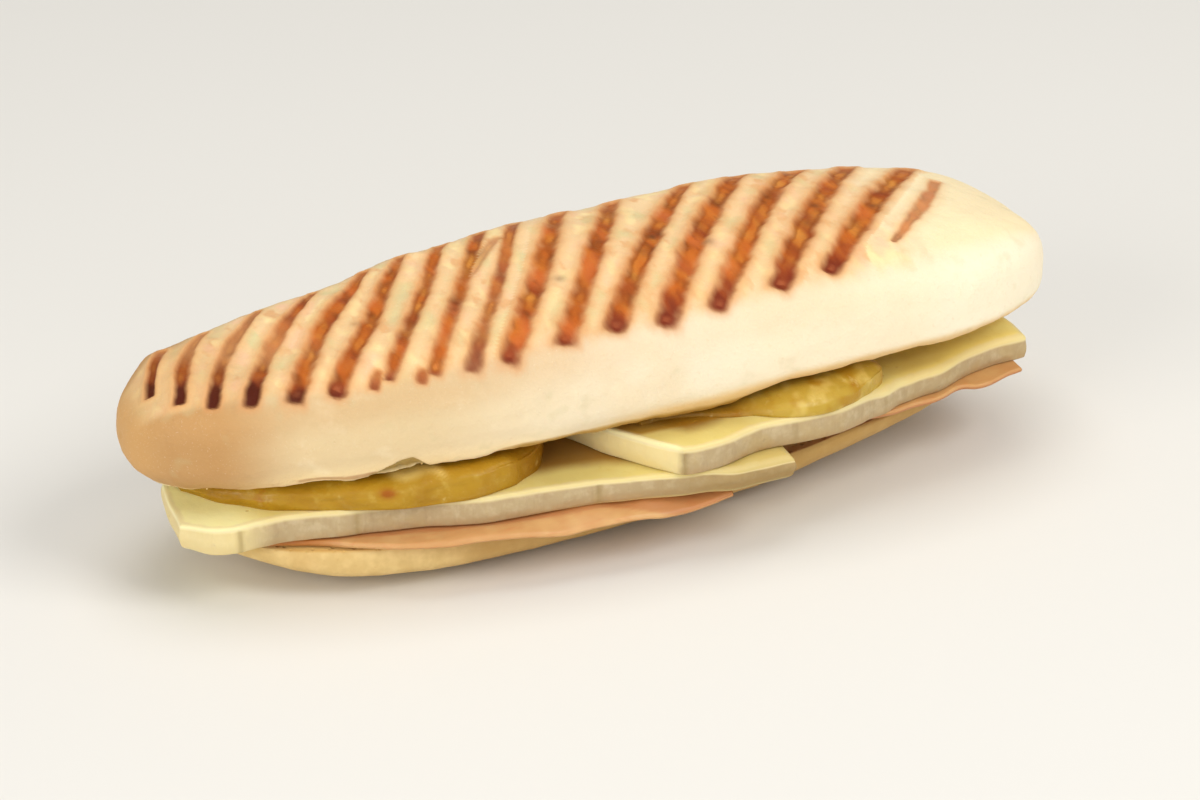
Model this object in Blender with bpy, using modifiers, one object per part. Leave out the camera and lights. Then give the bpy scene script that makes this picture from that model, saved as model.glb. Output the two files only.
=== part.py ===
"""An egg and cheese panini: a long pressed roll, split, with ham, soft cheese and egg between.

The roll lies along X and its near side faces -Y.  Lengths below are in millimetres until the
mesh is made, where MM turns them into metres.  Every layer of filling is laid on the one below
it: its underside is worked out from the top of what carries it, with GAP between the two.
"""

import math

import bmesh
import bpy
from mathutils import Vector

MM = 0.001
GAP = 0.4

# The roll.
LEFT_HALF = 124.0            # from the middle to the left tip of the top bread
RIGHT_HALF = 128.0           # from the middle to the right tip
TOP_WIDTH = 81.5             # across the widest line of the top bread
WALL_HEIGHT = 10.0           # from the cut up to the widest line
CROWN_HEIGHT = 20.8          # from the widest line up to the crown, at the middle
CROWN_GROWTH = 0.2           # how much higher the crown is at the right end than the middle
RIM_INSET = 6.5              # how far the cut edge stands in from the widest line
CUT_HEIGHT = 35.0            # of the top bread's cut over the floor, at the middle
CUT_TILT = 4.05              # rise of that cut from the middle to the right tip
CUT_BEND = 2.0               # drop of both ends of it
SIDE_BOW = 2.5               # how far both tips swing to the near side
BASE_LEFT = 107.0            # from the middle to the left tip of the bottom bread
BASE_RIGHT = 109.0
BASE_WIDTH = 76.0
BASE_HEIGHT = 15.0           # of the bottom bread's cut, at the middle
BASE_SWELL = 4.0             # how much thicker it is where no second layer presses it
BASE_RISE = 6.0              # how far its underside lifts at both ends

# The marks of the grill, counted from the left tip.
MARKS = 17
FIRST_MARK = -115.0
MARK_STEP = 10.2
MARK_STEP_GROWTH = 0.2
MARK_CROWDING = 3.5          # how far the marks about CROWDED stray to the left
CROWDED = 9
MARK_HALF_WIDTH = 3.1
MARK_FLAT_HALF = 1.8
MARK_DEPTH = 0.8
LEAN_LEFT = 0.58             # how far a mark runs to the right for each step back
LEAN_RIGHT = 0.95
MARK_REACH = 0.83            # how far down the crown a mark runs, as a share of its half width

# The fillings.
HAM_THICKNESS = 1.6
CHEESE_THICKNESS = 7.3
EGG_EDGE = 1.7
CHEESE_EDGE = 0.7
HAM_EDGE = 0.4
OVERLAP_END = 38.0           # right end of the lower cheese, from where the upper one sinks
UPPER_SINK = 2.9


def ease(low, high, value):
    """0 below low, 1 above high, and a smooth step between."""
    t = min(max((value - low) / (high - low), 0.0), 1.0)
    return t * t * (3.0 - 2.0 * t)


def signed_power(value, power):
    return math.copysign(abs(value) ** power, value)


def uneven(x, y, size):
    """The gentle unevenness of a baked surface."""
    a = math.sin(0.083 * x + 0.11 * y + 0.7)
    b = math.sin(0.19 * x - 0.13 * y + 2.1)
    c = math.sin(0.31 * x + 0.27 * y + 4.0)
    return size * (0.5 * a + 0.3 * b + 0.2 * c)


# ---------------------------------------------------------------- heights in the stack

def base_top(x):
    """The cut face of the bottom bread."""
    return BASE_HEIGHT + 0.01 * x + BASE_SWELL * ease(38.0, 80.0, x)


def ham_left_bottom(x):
    return base_top(x) + GAP


def cheese_lower_bottom(x):
    return BASE_HEIGHT + 0.01 * x + HAM_THICKNESS + 2.0 * GAP


def cheese_lower_top(x):
    return cheese_lower_bottom(x) + CHEESE_THICKNESS


def cheese_upper_bottom(x):
    carried = cheese_lower_top(min(x, OVERLAP_END)) + GAP
    return carried - UPPER_SINK * ease(OVERLAP_END + 2.0, 100.0, x)


def cheese_upper_top(x):
    return cheese_upper_bottom(x) + CHEESE_THICKNESS


def roll_part(x):
    """-1 at the left tip of the top bread, 0 at the middle and 1 at the right tip."""
    return x / (RIGHT_HALF if x > 0.0 else LEFT_HALF)


def cut_height(x):
    """The cut face of the top bread."""
    s = roll_part(x)
    return CUT_HEIGHT + CUT_TILT * s - CUT_BEND * s * s


# ---------------------------------------------------------------- the two breads

def top_half_width(x):
    s = min(max(roll_part(x), -1.0), 1.0)
    bluntness = 4.3 if s > 0.0 else 2.0
    return 0.5 * TOP_WIDTH * (1.0 - abs(s) ** bluntness) ** 0.4 * (1.0 + 0.02 * s)


def crown_height(x):
    s = min(max(roll_part(x), -1.0), 1.0)
    bluntness = 3.1 if s > 0.0 else 6.5
    return CROWN_HEIGHT * (1.0 - abs(s) ** bluntness) ** 0.37 * (1.0 + CROWN_GROWTH * s)


def mark_place(number):
    stray = MARK_CROWDING * math.exp(-(((number - CROWDED) / 1.6) ** 2))
    return FIRST_MARK + MARK_STEP * number + MARK_STEP_GROWTH * number * number - stray


def mark_lean(x, across):
    """How far a ring runs to the right for each step back.  It stands upright at both tips."""
    last = mark_place(MARKS - 1)
    share = min(max((x - FIRST_MARK) / (last - FIRST_MARK), 0.0), 1.0)
    lean = LEAN_LEFT + (LEAN_RIGHT - LEAN_LEFT) * share ** 2.2
    tipward = ease(0.0, 1.0, across if x > 0.0 else -across)
    return lean * (1.0 - abs(roll_part(x)) ** (8.0 - 5.0 * tipward))


def top_stations():
    """Where the rings of the top bread cross its middle line, and whether each is in a mark."""
    stations = [(-LEFT_HALF + step, False) for step in (0.8, 3.0)]
    for number in range(MARKS):
        middle = mark_place(number)
        for offset in (-MARK_HALF_WIDTH, -MARK_FLAT_HALF, MARK_FLAT_HALF, MARK_HALF_WIDTH):
            stations.append((middle + offset, abs(offset) < MARK_HALF_WIDTH))
    last = stations[-1][0]
    for share in (0.24, 0.47, 0.67, 0.83, 0.94, 0.99):
        stations.append((last + share * (RIGHT_HALF - last), False))
    return stations


def mark_depth(x, across):
    """Full along a mark, and none beyond its end, which is nearer the crown at both tips."""
    end = MARK_REACH - 0.7 * ease(100.0, 120.0, -x) - 0.25 * ease(45.0, 105.0, x)
    return MARK_DEPTH * (1.0 - ease(end - 0.05, end + 0.05, abs(across)))


def crown_point(station, across, in_mark):
    """A point over the widest line.  across runs from 1 at the back to -1 at the near side."""
    x = station
    for _ in range(30):
        x = station + mark_lean(station, across) * across * top_half_width(x)
    y = across * top_half_width(x)
    rise = crown_height(x) * (1.0 - abs(across) ** 3.3) ** 0.31
    z = cut_height(x) + WALL_HEIGHT + roll_part(x) ** 6 + rise
    z += uneven(x, y, 0.5) * ease(0.0, 6.0, rise)
    if in_mark:
        z -= mark_depth(x, across)
    return x, y, z


def wall_point(station, side, share):
    """A point from the widest line (share 0) down to the cut edge (share 1)."""
    lean = mark_lean(station, side) * (1.0 - share)
    x = station
    for _ in range(30):
        x = station + lean * side * top_half_width(x)
    width = top_half_width(x)
    inset = RIM_INSET * share ** 2.2 * width / (width + RIM_INSET)
    y = side * (width - inset)
    z = cut_height(x) + (WALL_HEIGHT + roll_part(x) ** 6) * (1.0 - share)
    z += uneven(x, y, 0.6) * share
    x *= 1.0 - share ** 2.2 * RIM_INSET / LEFT_HALF
    return x, y, z


def top_ring(station, in_mark):
    """One ring of the top bread: over the crown from the back, then under the cut face."""
    slope = (1.0, 0.98, 0.93, 0.86, 0.78, 0.66, 0.48, 0.25)
    crown = slope + (0.0,) + tuple(-across for across in reversed(slope))
    wall_shares = (0.4, 0.75, 1.0)
    under_steps = 4
    ring = [crown_point(station, across, in_mark) for across in crown]
    ring += [wall_point(station, -1.0, share) for share in wall_shares]
    near = ring[-1]
    far = wall_point(station, 1.0, 1.0)
    for k in range(1, under_steps):
        share = k / under_steps
        x = near[0] + (far[0] - near[0]) * share
        y = near[1] + (far[1] - near[1]) * share
        ring.append((x, y, cut_height(x) + 0.6 * math.sin(math.pi * share)))
    ring += [wall_point(station, 1.0, share) for share in reversed(wall_shares)]
    return ring


def base_part(x):
    return min(max(x / (BASE_RIGHT if x > 0.0 else BASE_LEFT), -1.0), 1.0)


def base_half_width(x):
    return 0.5 * BASE_WIDTH * (1.0 - abs(base_part(x)) ** 2.6) ** 0.45


def base_ring(x):
    """One ring of the bottom bread: over its cut face from the back, then under the hull."""
    top_steps = 6
    hull_steps = 12
    width = base_half_width(x)
    flaring = ease(-30.0, 90.0, x)
    depth = base_top(x) + 1.0 - BASE_RISE * (ease(30.0, 95.0, x) + ease(75.0, BASE_LEFT, -x))
    low = base_top(x) - depth * (2.0 * width / BASE_WIDTH) ** 0.6
    belly = low + (0.6 + 0.3 * flaring) * (base_top(x) - low)
    flare = 0.85 + 0.2 * flaring
    ring = []
    for k in range(top_steps + 1):
        across = 1.0 - 2.0 * k / top_steps
        y = across * (width - 0.8 * width / (width + 1.0))
        ring.append((x, y, base_top(x) - 0.8 * abs(across) ** 8))
    for k in range(1, hull_steps):
        angle = math.pi * k / hull_steps
        drop = math.sin(angle) ** flare
        y = -width * signed_power(math.cos(angle), flare)
        ring.append((x, y, max(belly - (belly - low) * drop, 0.0)))
    return ring


def loaf(name, rings, left_tip, right_tip):
    """A closed loaf: a UV sphere with its poles on X, each ring of it laid on one of rings."""
    across = len(rings[0])
    along = len(rings) + 1
    bm = bmesh.new()
    bmesh.ops.create_uvsphere(bm, u_segments=across, v_segments=along, radius=1.0)
    for vertex in bm.verts:
        down = round(math.acos(min(max(vertex.co.z, -1.0), 1.0)) / math.pi * along)
        turn = round(math.atan2(vertex.co.y, vertex.co.x) / (2.0 * math.pi) * across) % across
        if down == 0:
            place = right_tip
        elif down == along:
            place = left_tip
        else:
            place = rings[along - 1 - down][turn]
        vertex.co = Vector(place) * MM
    return finish_mesh(name, bm)


# ---------------------------------------------------------------- the slabs of filling

def spline(points, share):
    """The place at a share of the length of a smooth line through the points."""
    lengths = [0.0]
    for a, b in zip(points, points[1:]):
        lengths.append(lengths[-1] + math.dist(a, b))
    reach = share * lengths[-1]
    i = max(k for k in range(len(points) - 1) if lengths[k] <= reach + 1e-9)
    t = (reach - lengths[i]) / (lengths[i + 1] - lengths[i])
    p1 = points[i]
    p2 = points[i + 1]
    p0 = points[i - 1] if i > 0 else tuple(2.0 * a - b for a, b in zip(p1, p2))
    p3 = points[i + 2] if i + 2 < len(points) else tuple(2.0 * a - b for a, b in zip(p2, p1))
    place = []
    for a, b, c, d in zip(p0, p1, p2, p3):
        curve = (2.0 * a - 5.0 * b + 4.0 * c - d) * t * t + (3.0 * b - a - 3.0 * c + d) * t ** 3
        place.append(b + 0.5 * ((c - a) * t + curve))
    return place


def patch(sides, u, v):
    """A place inside four sides (near, right, far, left), which run round anticlockwise."""
    near = spline(sides[0], u)
    right = spline(sides[1], v)
    far = spline(sides[2], 1.0 - u)
    left = spline(sides[3], 1.0 - v)
    corners = [side[0] for side in sides]
    place = []
    for k in range(2):
        ruled = (1.0 - v) * near[k] + v * far[k] + (1.0 - u) * left[k] + u * right[k]
        bottom = (1.0 - u) * corners[0][k] + u * corners[1][k]
        top = (1.0 - u) * corners[3][k] + u * corners[2][k]
        place.append(ruled - (1.0 - v) * bottom - v * top)
    return place


def slab(name, sides, counts, bottom, top, edge):
    """A slab between two heights: a grid laid on the patch, extruded down, with soft edges."""
    bm = bmesh.new()
    bmesh.ops.create_grid(bm, x_segments=counts[0], y_segments=counts[1], size=1.0)
    shares = {}
    for vertex in bm.verts:
        u = 0.5 + 0.5 * vertex.co.x
        v = 0.5 + 0.5 * vertex.co.y
        x, y = patch(sides, u, v)
        vertex.co = (x, y, 0.0)
        shares[vertex] = 4.0 * min(u, 1.0 - u, v, 1.0 - v)
    upper = list(bm.verts)
    extruded = bmesh.ops.extrude_face_region(bm, geom=bm.faces[:])
    lower = [item for item in extruded["geom"] if isinstance(item, bmesh.types.BMVert)]
    for vertex in upper:
        vertex.co.z = top(vertex.co.x, vertex.co.y, shares[vertex])
    for vertex in lower:
        vertex.co.z = bottom(vertex.co.x, vertex.co.y)
    for vertex in bm.verts:
        vertex.co *= MM
    bmesh.ops.recalc_face_normals(bm, faces=bm.faces[:])
    item = finish_mesh(name, bm)
    soften = item.modifiers.new("Soft edges", "BEVEL")
    soften.width = edge * MM
    soften.segments = 2
    soften.limit_method = "ANGLE"
    soften.angle_limit = math.radians(50.0)
    return item


# ---------------------------------------------------------------- objects and materials

def make_collection(name):
    collection = bpy.data.collections.new(name)
    bpy.context.scene.collection.children.link(collection)
    return collection


def finish_mesh(name, bm):
    mesh = bpy.data.meshes.new(name)
    bm.to_mesh(mesh)
    bm.free()
    mesh.shade_smooth()
    mesh.set_sharp_from_angle(angle=math.radians(50.0))
    return bpy.data.objects.new(name, mesh)


def make_material(name, colour, roughness):
    material = bpy.data.materials.new(name)
    material.use_nodes = True
    shader = material.node_tree.nodes["Principled BSDF"]
    shader.inputs["Base Color"].default_value = (*colour, 1.0)
    shader.inputs["Roughness"].default_value = roughness
    shader.inputs["Metallic"].default_value = 0.0
    return material


def make_breads():
    stations = top_stations()
    rings = [top_ring(x, in_mark) for x, in_mark in stations]
    tips = []
    for x in (-LEFT_HALF, RIGHT_HALF):
        tips.append((x, 0.0, cut_height(x) + WALL_HEIGHT + 1.0))
    top = loaf("top_bread", rings, tips[0], tips[1])

    ring_count = 38
    middle = 0.5 * (BASE_RIGHT - BASE_LEFT)
    reach = 0.5 * (BASE_RIGHT + BASE_LEFT)
    angles = [math.pi * (k + 1) / (ring_count + 1) for k in range(ring_count)]
    rings = [base_ring(middle - reach * math.cos(angle)) for angle in angles]
    left_tip = (-BASE_LEFT, 0.0, base_top(-BASE_LEFT) - 2.5)
    right_tip = (BASE_RIGHT, 0.0, base_top(BASE_RIGHT) - 2.5)
    base = loaf("bottom_bread", rings, left_tip, right_tip)
    for vertex in top.data.vertices:
        vertex.co.y -= SIDE_BOW * MM * roll_part(vertex.co.x / MM) ** 2
    return top, base


def make_ham():
    """Two thin slices: one under the lower cheese, one under the right end of the upper one."""
    near = [(-95, -22), (-80, -29.5), (-65, -37.5), (-53, -41), (-35, -44), (-15, -46), (6, -47.5), (16, -47)]
    sides = [near, [(16, -47), (24, -30), (27, 0), (24, 32)],
             [(24, 32), (-20, 36), (-60, 34), (-90, 24)], [(-90, 24), (-100, 5), (-100, -10), (-95, -22)]]

    def droop(x, y):
        """The edge hangs a little where no bread is under it."""
        return 1.6 * ease(2.0, 12.0, -y - base_half_width(x)) * (1.0 + 0.5 * math.sin(0.21 * x))

    def low(x, y):
        return ham_left_bottom(x) - droop(x, y)

    left = slab("ham_left", sides, (24, 8), low,
                lambda x, y, inside: low(x, y) + HAM_THICKNESS, HAM_EDGE)

    near = [(64, -35), (75, -34.5), (89, -30.5), (97, -27.5), (102, -28.5), (109, -27), (117, -24)]
    sides = [near, [(117, -24), (118, -8), (114, 12)],
             [(114, 12), (98, 24), (66, 28)], [(66, 28), (60, 0), (64, -35)]]

    def under_cheese(x, y):
        return cheese_upper_bottom(x) - GAP - HAM_THICKNESS

    right = slab("ham_right", sides, (14, 6), lambda x, y: max(under_cheese(x, y), base_top(x) + GAP),
                 lambda x, y, inside: cheese_upper_bottom(x) - GAP, HAM_EDGE)
    return left, right


def make_cheese():
    """Two slices of soft cheese with their rind on the near side, the upper one overlapping."""
    near = [(-103, -25.5), (-87, -26.5), (-62, -32), (-40, -37.5), (-13, -41.5), (0, -46), (12, -49.5),
            (25, -50), (37.5, -49.2)]
    sides = [near, [(37.5, -49.2), (40, 0), (40, 36)],
             [(40, 36), (0, 38.5), (-50, 37.5), (-94, 28)],
             [(-94, 28), (-105, 18), (-111.5, 4), (-112.5, -8), (-110.5, -18), (-103, -25.5)]]
    lower = slab("cheese_lower", sides, (30, 10),
                 lambda x, y: cheese_lower_bottom(x),
                 lambda x, y, inside: cheese_lower_top(x), CHEESE_EDGE)

    near = [(6, -44.5), (11, -47.5), (18, -48.5), (30, -45.5), (40, -45.8), (54, -43), (62, -39.8),
            (76, -32.6), (90, -28), (104, -22), (120.5, -20)]
    sides = [near, [(120.5, -20), (121, -5), (117, 14)],
             [(117, 14), (98, 29), (60, 37), (20, 38.5), (-8, 37)],
             [(-8, 37), (-17, 10), (-15, -10), (-9.5, -20.5), (6, -44.5)]]
    upper = slab("cheese_upper", sides, (28, 10),
                 lambda x, y: cheese_upper_bottom(x),
                 lambda x, y, inside: cheese_upper_top(x), CHEESE_EDGE)
    return lower, upper


def make_egg():
    """Two folded slabs of egg, each between a slice of cheese and the top bread."""

    def under_roll(x, y, inside):
        """Up to the roll, thinner and lumpy round the edge."""
        edge = 1.0 - ease(0.0, 1.0, inside)
        lump = 0.5 + 0.5 * math.sin(0.27 * x + 0.2 * y) * math.sin(0.11 * x + 1.3)
        return cut_height(x) - 0.8 - edge * (0.2 + 1.0 * lump)

    near = [(-110, -4), (-101, -16), (-88, -24.5), (-75, -30), (-58, -34.7), (-43, -36.3), (-32, -34.8)]
    sides = [near, [(-32, -34.8), (-24, -28.5), (-20.5, -18), (-24, 0), (-27, 28)],
             [(-27, 28), (-60, 33), (-92, 26)], [(-92, 26), (-107, 12), (-110, -4)]]
    left = slab("egg_left", sides, (22, 10), lambda x, y: cheese_lower_top(x) + GAP,
                under_roll, EGG_EDGE)

    def puffed(x, y, inside):
        """Thin under the middle of the roll, where two slices of cheese are under it."""
        return max(under_roll(x, y, inside), cheese_upper_top(x) + GAP + 1.2)

    near = [(2, -32), (15, -34), (27, -39), (42, -41.8), (56, -40.8), (65, -37.5)]
    sides = [near, [(65, -37.5), (70, -32), (70.5, -22), (68, 0), (62, 26)],
             [(62, 26), (32, 33), (6, 30)], [(6, 30), (-4, 10), (-3, -12), (2, -32)]]
    right = slab("egg_right", sides, (18, 10), lambda x, y: cheese_upper_top(x) + GAP,
                 puffed, 0.5 * EGG_EDGE)
    return left, right


def centre_over_origin(items):
    """Put the middle of the underside of the whole at the origin."""
    xs = [v.co.x for item in items for v in item.data.vertices]
    ys = [v.co.y for item in items for v in item.data.vertices]
    zs = [v.co.z for item in items for v in item.data.vertices]
    shift = Vector((0.5 * (min(xs) + max(xs)), 0.5 * (min(ys) + max(ys)), min(zs)))
    for item in items:
        for vertex in item.data.vertices:
            vertex.co -= shift


def main():
    for item in list(bpy.data.objects):
        bpy.data.objects.remove(item, do_unlink=True)
    collection = make_collection("panini")
    crust = make_material("crust", (0.86, 0.66, 0.38), 0.6)
    crumb = make_material("crumb", (0.80, 0.64, 0.34), 0.75)
    ham = make_material("ham", (0.80, 0.42, 0.26), 0.45)
    cheese = make_material("cheese", (0.80, 0.70, 0.36), 0.5)
    egg = make_material("egg", (0.62, 0.42, 0.06), 0.45)
    top, base = make_breads()
    coated = [(top, crust), (base, crumb)]
    coated += [(item, ham) for item in make_ham()]
    coated += [(item, cheese) for item in make_cheese()]
    coated += [(item, egg) for item in make_egg()]
    for item, material in coated:
        item.data.materials.append(material)
        collection.objects.link(item)
    centre_over_origin([item for item, material in coated])


main()
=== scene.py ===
"""Looks for the egg and cheese panini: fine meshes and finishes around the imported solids.

Lengths are in millimetres in the roll's own frame until a mesh is made, where MM and ORIGIN move
them into the frame of the solids.  X runs along the roll, its near side faces -Y, and Z is the
height over the floor.  Shaders read their places in metres.
"""

import math

import bpy
import numpy as np
from bpy.props import FloatProperty, FloatVectorProperty, IntProperty, PointerProperty
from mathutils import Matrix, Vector


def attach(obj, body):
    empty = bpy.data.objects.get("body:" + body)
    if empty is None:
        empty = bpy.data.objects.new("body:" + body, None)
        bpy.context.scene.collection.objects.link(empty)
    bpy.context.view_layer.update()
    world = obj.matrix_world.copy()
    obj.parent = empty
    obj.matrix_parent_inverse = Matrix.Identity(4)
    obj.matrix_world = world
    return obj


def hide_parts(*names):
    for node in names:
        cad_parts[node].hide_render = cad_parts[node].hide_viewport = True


bl_info = {
    "name": "Egg and cheese panini",
    "version": (1, 0, 0),
    "blender": (4, 5, 0),
    "location": "View3D > Sidebar > Panini",
    "description": "Dresses the solids of a pressed roll with egg, cheese and ham",
    "category": "Object",
}

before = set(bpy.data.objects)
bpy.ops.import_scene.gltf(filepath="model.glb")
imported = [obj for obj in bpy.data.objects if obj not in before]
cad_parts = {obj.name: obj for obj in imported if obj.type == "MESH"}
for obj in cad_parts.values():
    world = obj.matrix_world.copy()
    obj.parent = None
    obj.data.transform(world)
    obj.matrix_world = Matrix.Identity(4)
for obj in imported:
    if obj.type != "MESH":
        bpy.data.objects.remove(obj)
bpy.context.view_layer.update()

MM = 0.001

# The solids' own sizes, which the fine meshes follow.
GAP = 0.4
LEFT_HALF = 124.0
RIGHT_HALF = 128.0
TOP_WIDTH = 81.5
WALL_HEIGHT = 10.0
CROWN_HEIGHT = 20.8
CROWN_GROWTH = 0.2
RIM_INSET = 6.5
CUT_HEIGHT = 35.0
CUT_TILT = 4.05
CUT_BEND = 2.0
SIDE_BOW = 2.5
BASE_LEFT = 107.0
BASE_RIGHT = 109.0
BASE_WIDTH = 76.0
BASE_HEIGHT = 15.0
BASE_TILT = 0.01
BASE_SWELL = 4.0
BASE_RISE = 6.0
HAM_THICKNESS = 1.6
CHEESE_THICKNESS = 7.3
OVERLAP_END = 38.0
UPPER_SINK = 2.9
# How far each filling sags on to what is under it, which the stiff solids leave free.
SAG = 0.36
EGG_SINK = 0.3
# On the near right the top bread stands open: how far its rim is raised and drawn in there.
RIM_LIFT = 2.9
RIM_TUCK = 2.8

# How fine the meshes are: the rings along each half of the roll, and how much closer together
# they stand at its tips than in its middle, from 0 to 1.
TOP_RINGS = 448
TOP_CROWDING = 0.6
BASE_RINGS = 380
BASE_CROWDING = 0.8
# Points of a top ring over half the crown, and steps down a wall and across the cut face.
CROWN_POINTS = 82
WALL_STEPS = 20
UNDER_STEPS = 17
# Points of a base ring on the cut face and under it, and steps in the corners between.
BASE_FACE_POINTS = 61
BASE_HULL_POINTS = 81
BASE_CORNER_STEPS = 7
# Steps of the fillings' grids along the roll, near a long side, in the middle and down a wall.
SLAB_STEP = 0.7
CHEESE_STEP = 0.62
EDGE_STEP = 0.6
MIDDLE_STEP = 1.8
WALL_STEP = 0.45

# The marks of the grill, from the left tip: half the width at the near end, in the middle and at
# the far end, how far up from the near end it is burnt, how strong it is, and places on its line.
MARKS = (
    (1.5, 1.5, 1.1, 7.0, 0.9, ((-116.7, -4.8), (-112.8, 4.9), (-107.2, 14.5))),
    (1.5, 1.5, 0.9, 9.0, 1.0, ((-111.8, -13.8), (-108.9, -6.2), (-105.9, 1.5), (-101.7, 9.2),
                               (-95.0, 18.5))),
    (1.6, 1.5, 0.9, 10.0, 1.0, ((-105.5, -19.7), (-101.2, -10.7), (-97.0, -1.7), (-91.1, 7.4),
                                (-83.5, 17.0), (-79.0, 23.0))),
    (1.9, 1.8, 1.0, 10.0, 1.0, ((-97.1, -23.6), (-91.2, -13.1), (-85.6, -2.6), (-77.8, 7.9),
                                (-69.0, 18.4), (-63.5, 26.0))),
    (2.3, 2.2, 1.3, 4.5, 1.0, ((-87.3, -27.3), (-80.2, -15.7), (-73.3, -4.1), (-64.8, 7.6),
                               (-55.5, 19.2), (-49.0, 28.0))),
    (2.2, 2.1, 1.4, 3.5, 0.95, ((-77.1, -28.9), (-68.9, -17.2), (-60.7, -5.5), (-53.2, 6.1),
                                (-45.8, 17.8), (-38.0, 29.5))),
    (1.6, 1.9, 1.4, 2.5, 0.9, ((-63.5, -29.5), (-55.2, -16.5), (-46.6, -3.5), (-38.6, 9.5),
                               (-31.5, 22.5), (-26.5, 30.5))),
    (1.8, 1.8, 1.6, 2.0, 0.95, ((-52.4, -31.5), (-44.0, -17.7), (-35.6, -3.9), (-27.4, 9.9),
                                (-19.8, 23.7), (-16.0, 31.0))),
    (2.1, 1.6, 1.5, 7.0, 0.75, ((-43.3, -33.6), (-34.5, -19.6), (-26.1, -5.6), (-18.1, 8.3),
                                (-10.7, 22.3), (-6.0, 31.0))),
    (2.6, 2.6, 1.9, 4.5, 1.0, ((-33.9, -34.3), (-22.8, -18.3), (-12.6, -2.4), (-3.3, 13.5),
                               (6.5, 31.0))),
    (2.6, 2.3, 1.9, 5.0, 1.0, ((-19.1, -34.1), (-8.0, -17.9), (2.7, -1.6), (12.7, 14.6),
                               (22.0, 31.5))),
    (2.6, 2.5, 1.8, 6.0, 1.0, ((-5.7, -33.5), (5.7, -18.3), (17.0, -3.1), (28.4, 12.2),
                               (42.5, 29.5))),
    (2.8, 2.8, 2.1, 10.0, 1.0, ((7.3, -35.4), (19.3, -19.9), (30.6, -4.4), (42.7, 11.0),
                                (55.5, 26.5), (59.0, 30.5))),
    (2.6, 2.7, 2.2, 10.0, 1.0, ((22.2, -34.3), (34.4, -20.0), (45.6, -5.8), (57.2, 8.5),
                                (70.0, 22.8), (75.0, 29.0))),
    (2.7, 2.8, 2.2, 11.0, 1.0, ((39.7, -33.4), (50.7, -20.2), (61.1, -7.0), (71.9, 6.1),
                                (83.5, 19.3), (89.5, 26.5))),
    (2.3, 2.9, 2.3, 11.0, 1.0, ((54.5, -31.7), (66.0, -20.0), (76.9, -8.4), (88.0, 3.3),
                                (99.5, 14.9), (105.0, 21.0))),
    (0.8, 1.7, 1.3, 0.5, 0.6, ((76.7, -24.4), (85.3, -16.8), (93.0, -9.1), (99.7, -1.5),
                               (106.5, 8.0))),
)
# Short prongs and forks beside them, told the same way.
PRONGS = (
    (1.4, 1.3, 1.0, 2.5, 1.0, ((-67.8, -30.2), (-66.2, -28.1), (-64.4, -25.6))),
    (1.3, 1.5, 1.2, 3.0, 0.95, ((-56.2, -32.4), (-55.2, -30.9), (-54.2, -29.2))),
    (1.2, 1.5, 1.3, 0.5, 0.5, ((-28.5, 6.0), (-21.7, 14.1), (-14.0, 22.5))),
)
# Darker spots where the crust caught the grill: place, radius and strength.
SCORCHES = ((20.5, 2.5, 1.7, 0.9), (14.7, -4.7, 1.4, 0.35), (66.5, 0.5, 1.6, 0.8),
            (59.5, -9.0, 2.0, 0.5), (81.5, -3.5, 1.8, 0.6), (-47.5, 15.5, 1.8, 0.6),
            (-38.5, -8.5, 1.5, 0.5), (31.0, -9.5, 2.0, 0.5), (-93.5, 2.0, 1.5, 0.5),
            (-62.0, -2.0, 1.4, 0.4), (-10.0, -9.0, 1.5, 0.5), (7.0, 3.5, 1.5, 0.4))
# The steps of a mark's line, and how far it runs on past both ends of the mark.
MARK_STEP = 0.25
MARK_RUNOUT = 3.0
# Blisters of the crust: place, height and radius.
BLISTERS = ((-36.0, 26.0, 1.1, 2.6), (-96.0, -6.0, 0.35, 2.2), (-4.0, 22.0, 0.4, 3.0),
            (58.0, 6.0, 0.3, 2.5), (102.0, -20.0, 0.4, 4.0), (-64.0, 8.0, 0.3, 2.4))


def srgb(red, green, blue):
    """A colour as read off a screen, 0 to 255, in the linear values that the shaders take."""
    linear = []
    for value in (red, green, blue):
        share = value / 255.0
        linear.append(share / 12.92 if share <= 0.04045 else ((share + 0.055) / 1.055) ** 2.4)
    return tuple(linear)


# ---------------------------------------------------------------- sizes and colours to change

def length_setting(label, text, default):
    return FloatProperty(name=label, description=text, default=default * MM, min=0.0,
                         unit="LENGTH", subtype="DISTANCE", precision=5)


def colour_setting(label, text, default):
    return FloatVectorProperty(name=label, description=text, default=srgb(*default), min=0.0,
                               max=1.0, size=3, subtype="COLOR")


class PaniniRoll(bpy.types.PropertyGroup):
    """The two halves of the roll."""

    mark_depth: length_setting("Mark depth", "How deep the grill presses its marks", 0.8)
    ridge_height: length_setting("Ridge height", "How far the crust swells beside a mark", 0.28)
    crust_relief: length_setting("Crust relief", "Height of the crust's gentle lumps", 1.0)
    crumb_relief: length_setting("Crumb relief", "Depth of the holes in the cut faces", 1.1)
    pale: colour_setting("Pale crust", "The crust between and below the marks", (240, 227, 199))
    golden: colour_setting("Golden crust", "The crust at the browner left end", (190, 146, 94))
    toasted: colour_setting("Toasted", "The middle of a mark", (174, 92, 32))
    burnt: colour_setting("Burnt", "The near end of a mark", (112, 40, 22))
    crumb: colour_setting("Crumb", "The cut faces", (244, 220, 152))


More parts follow.
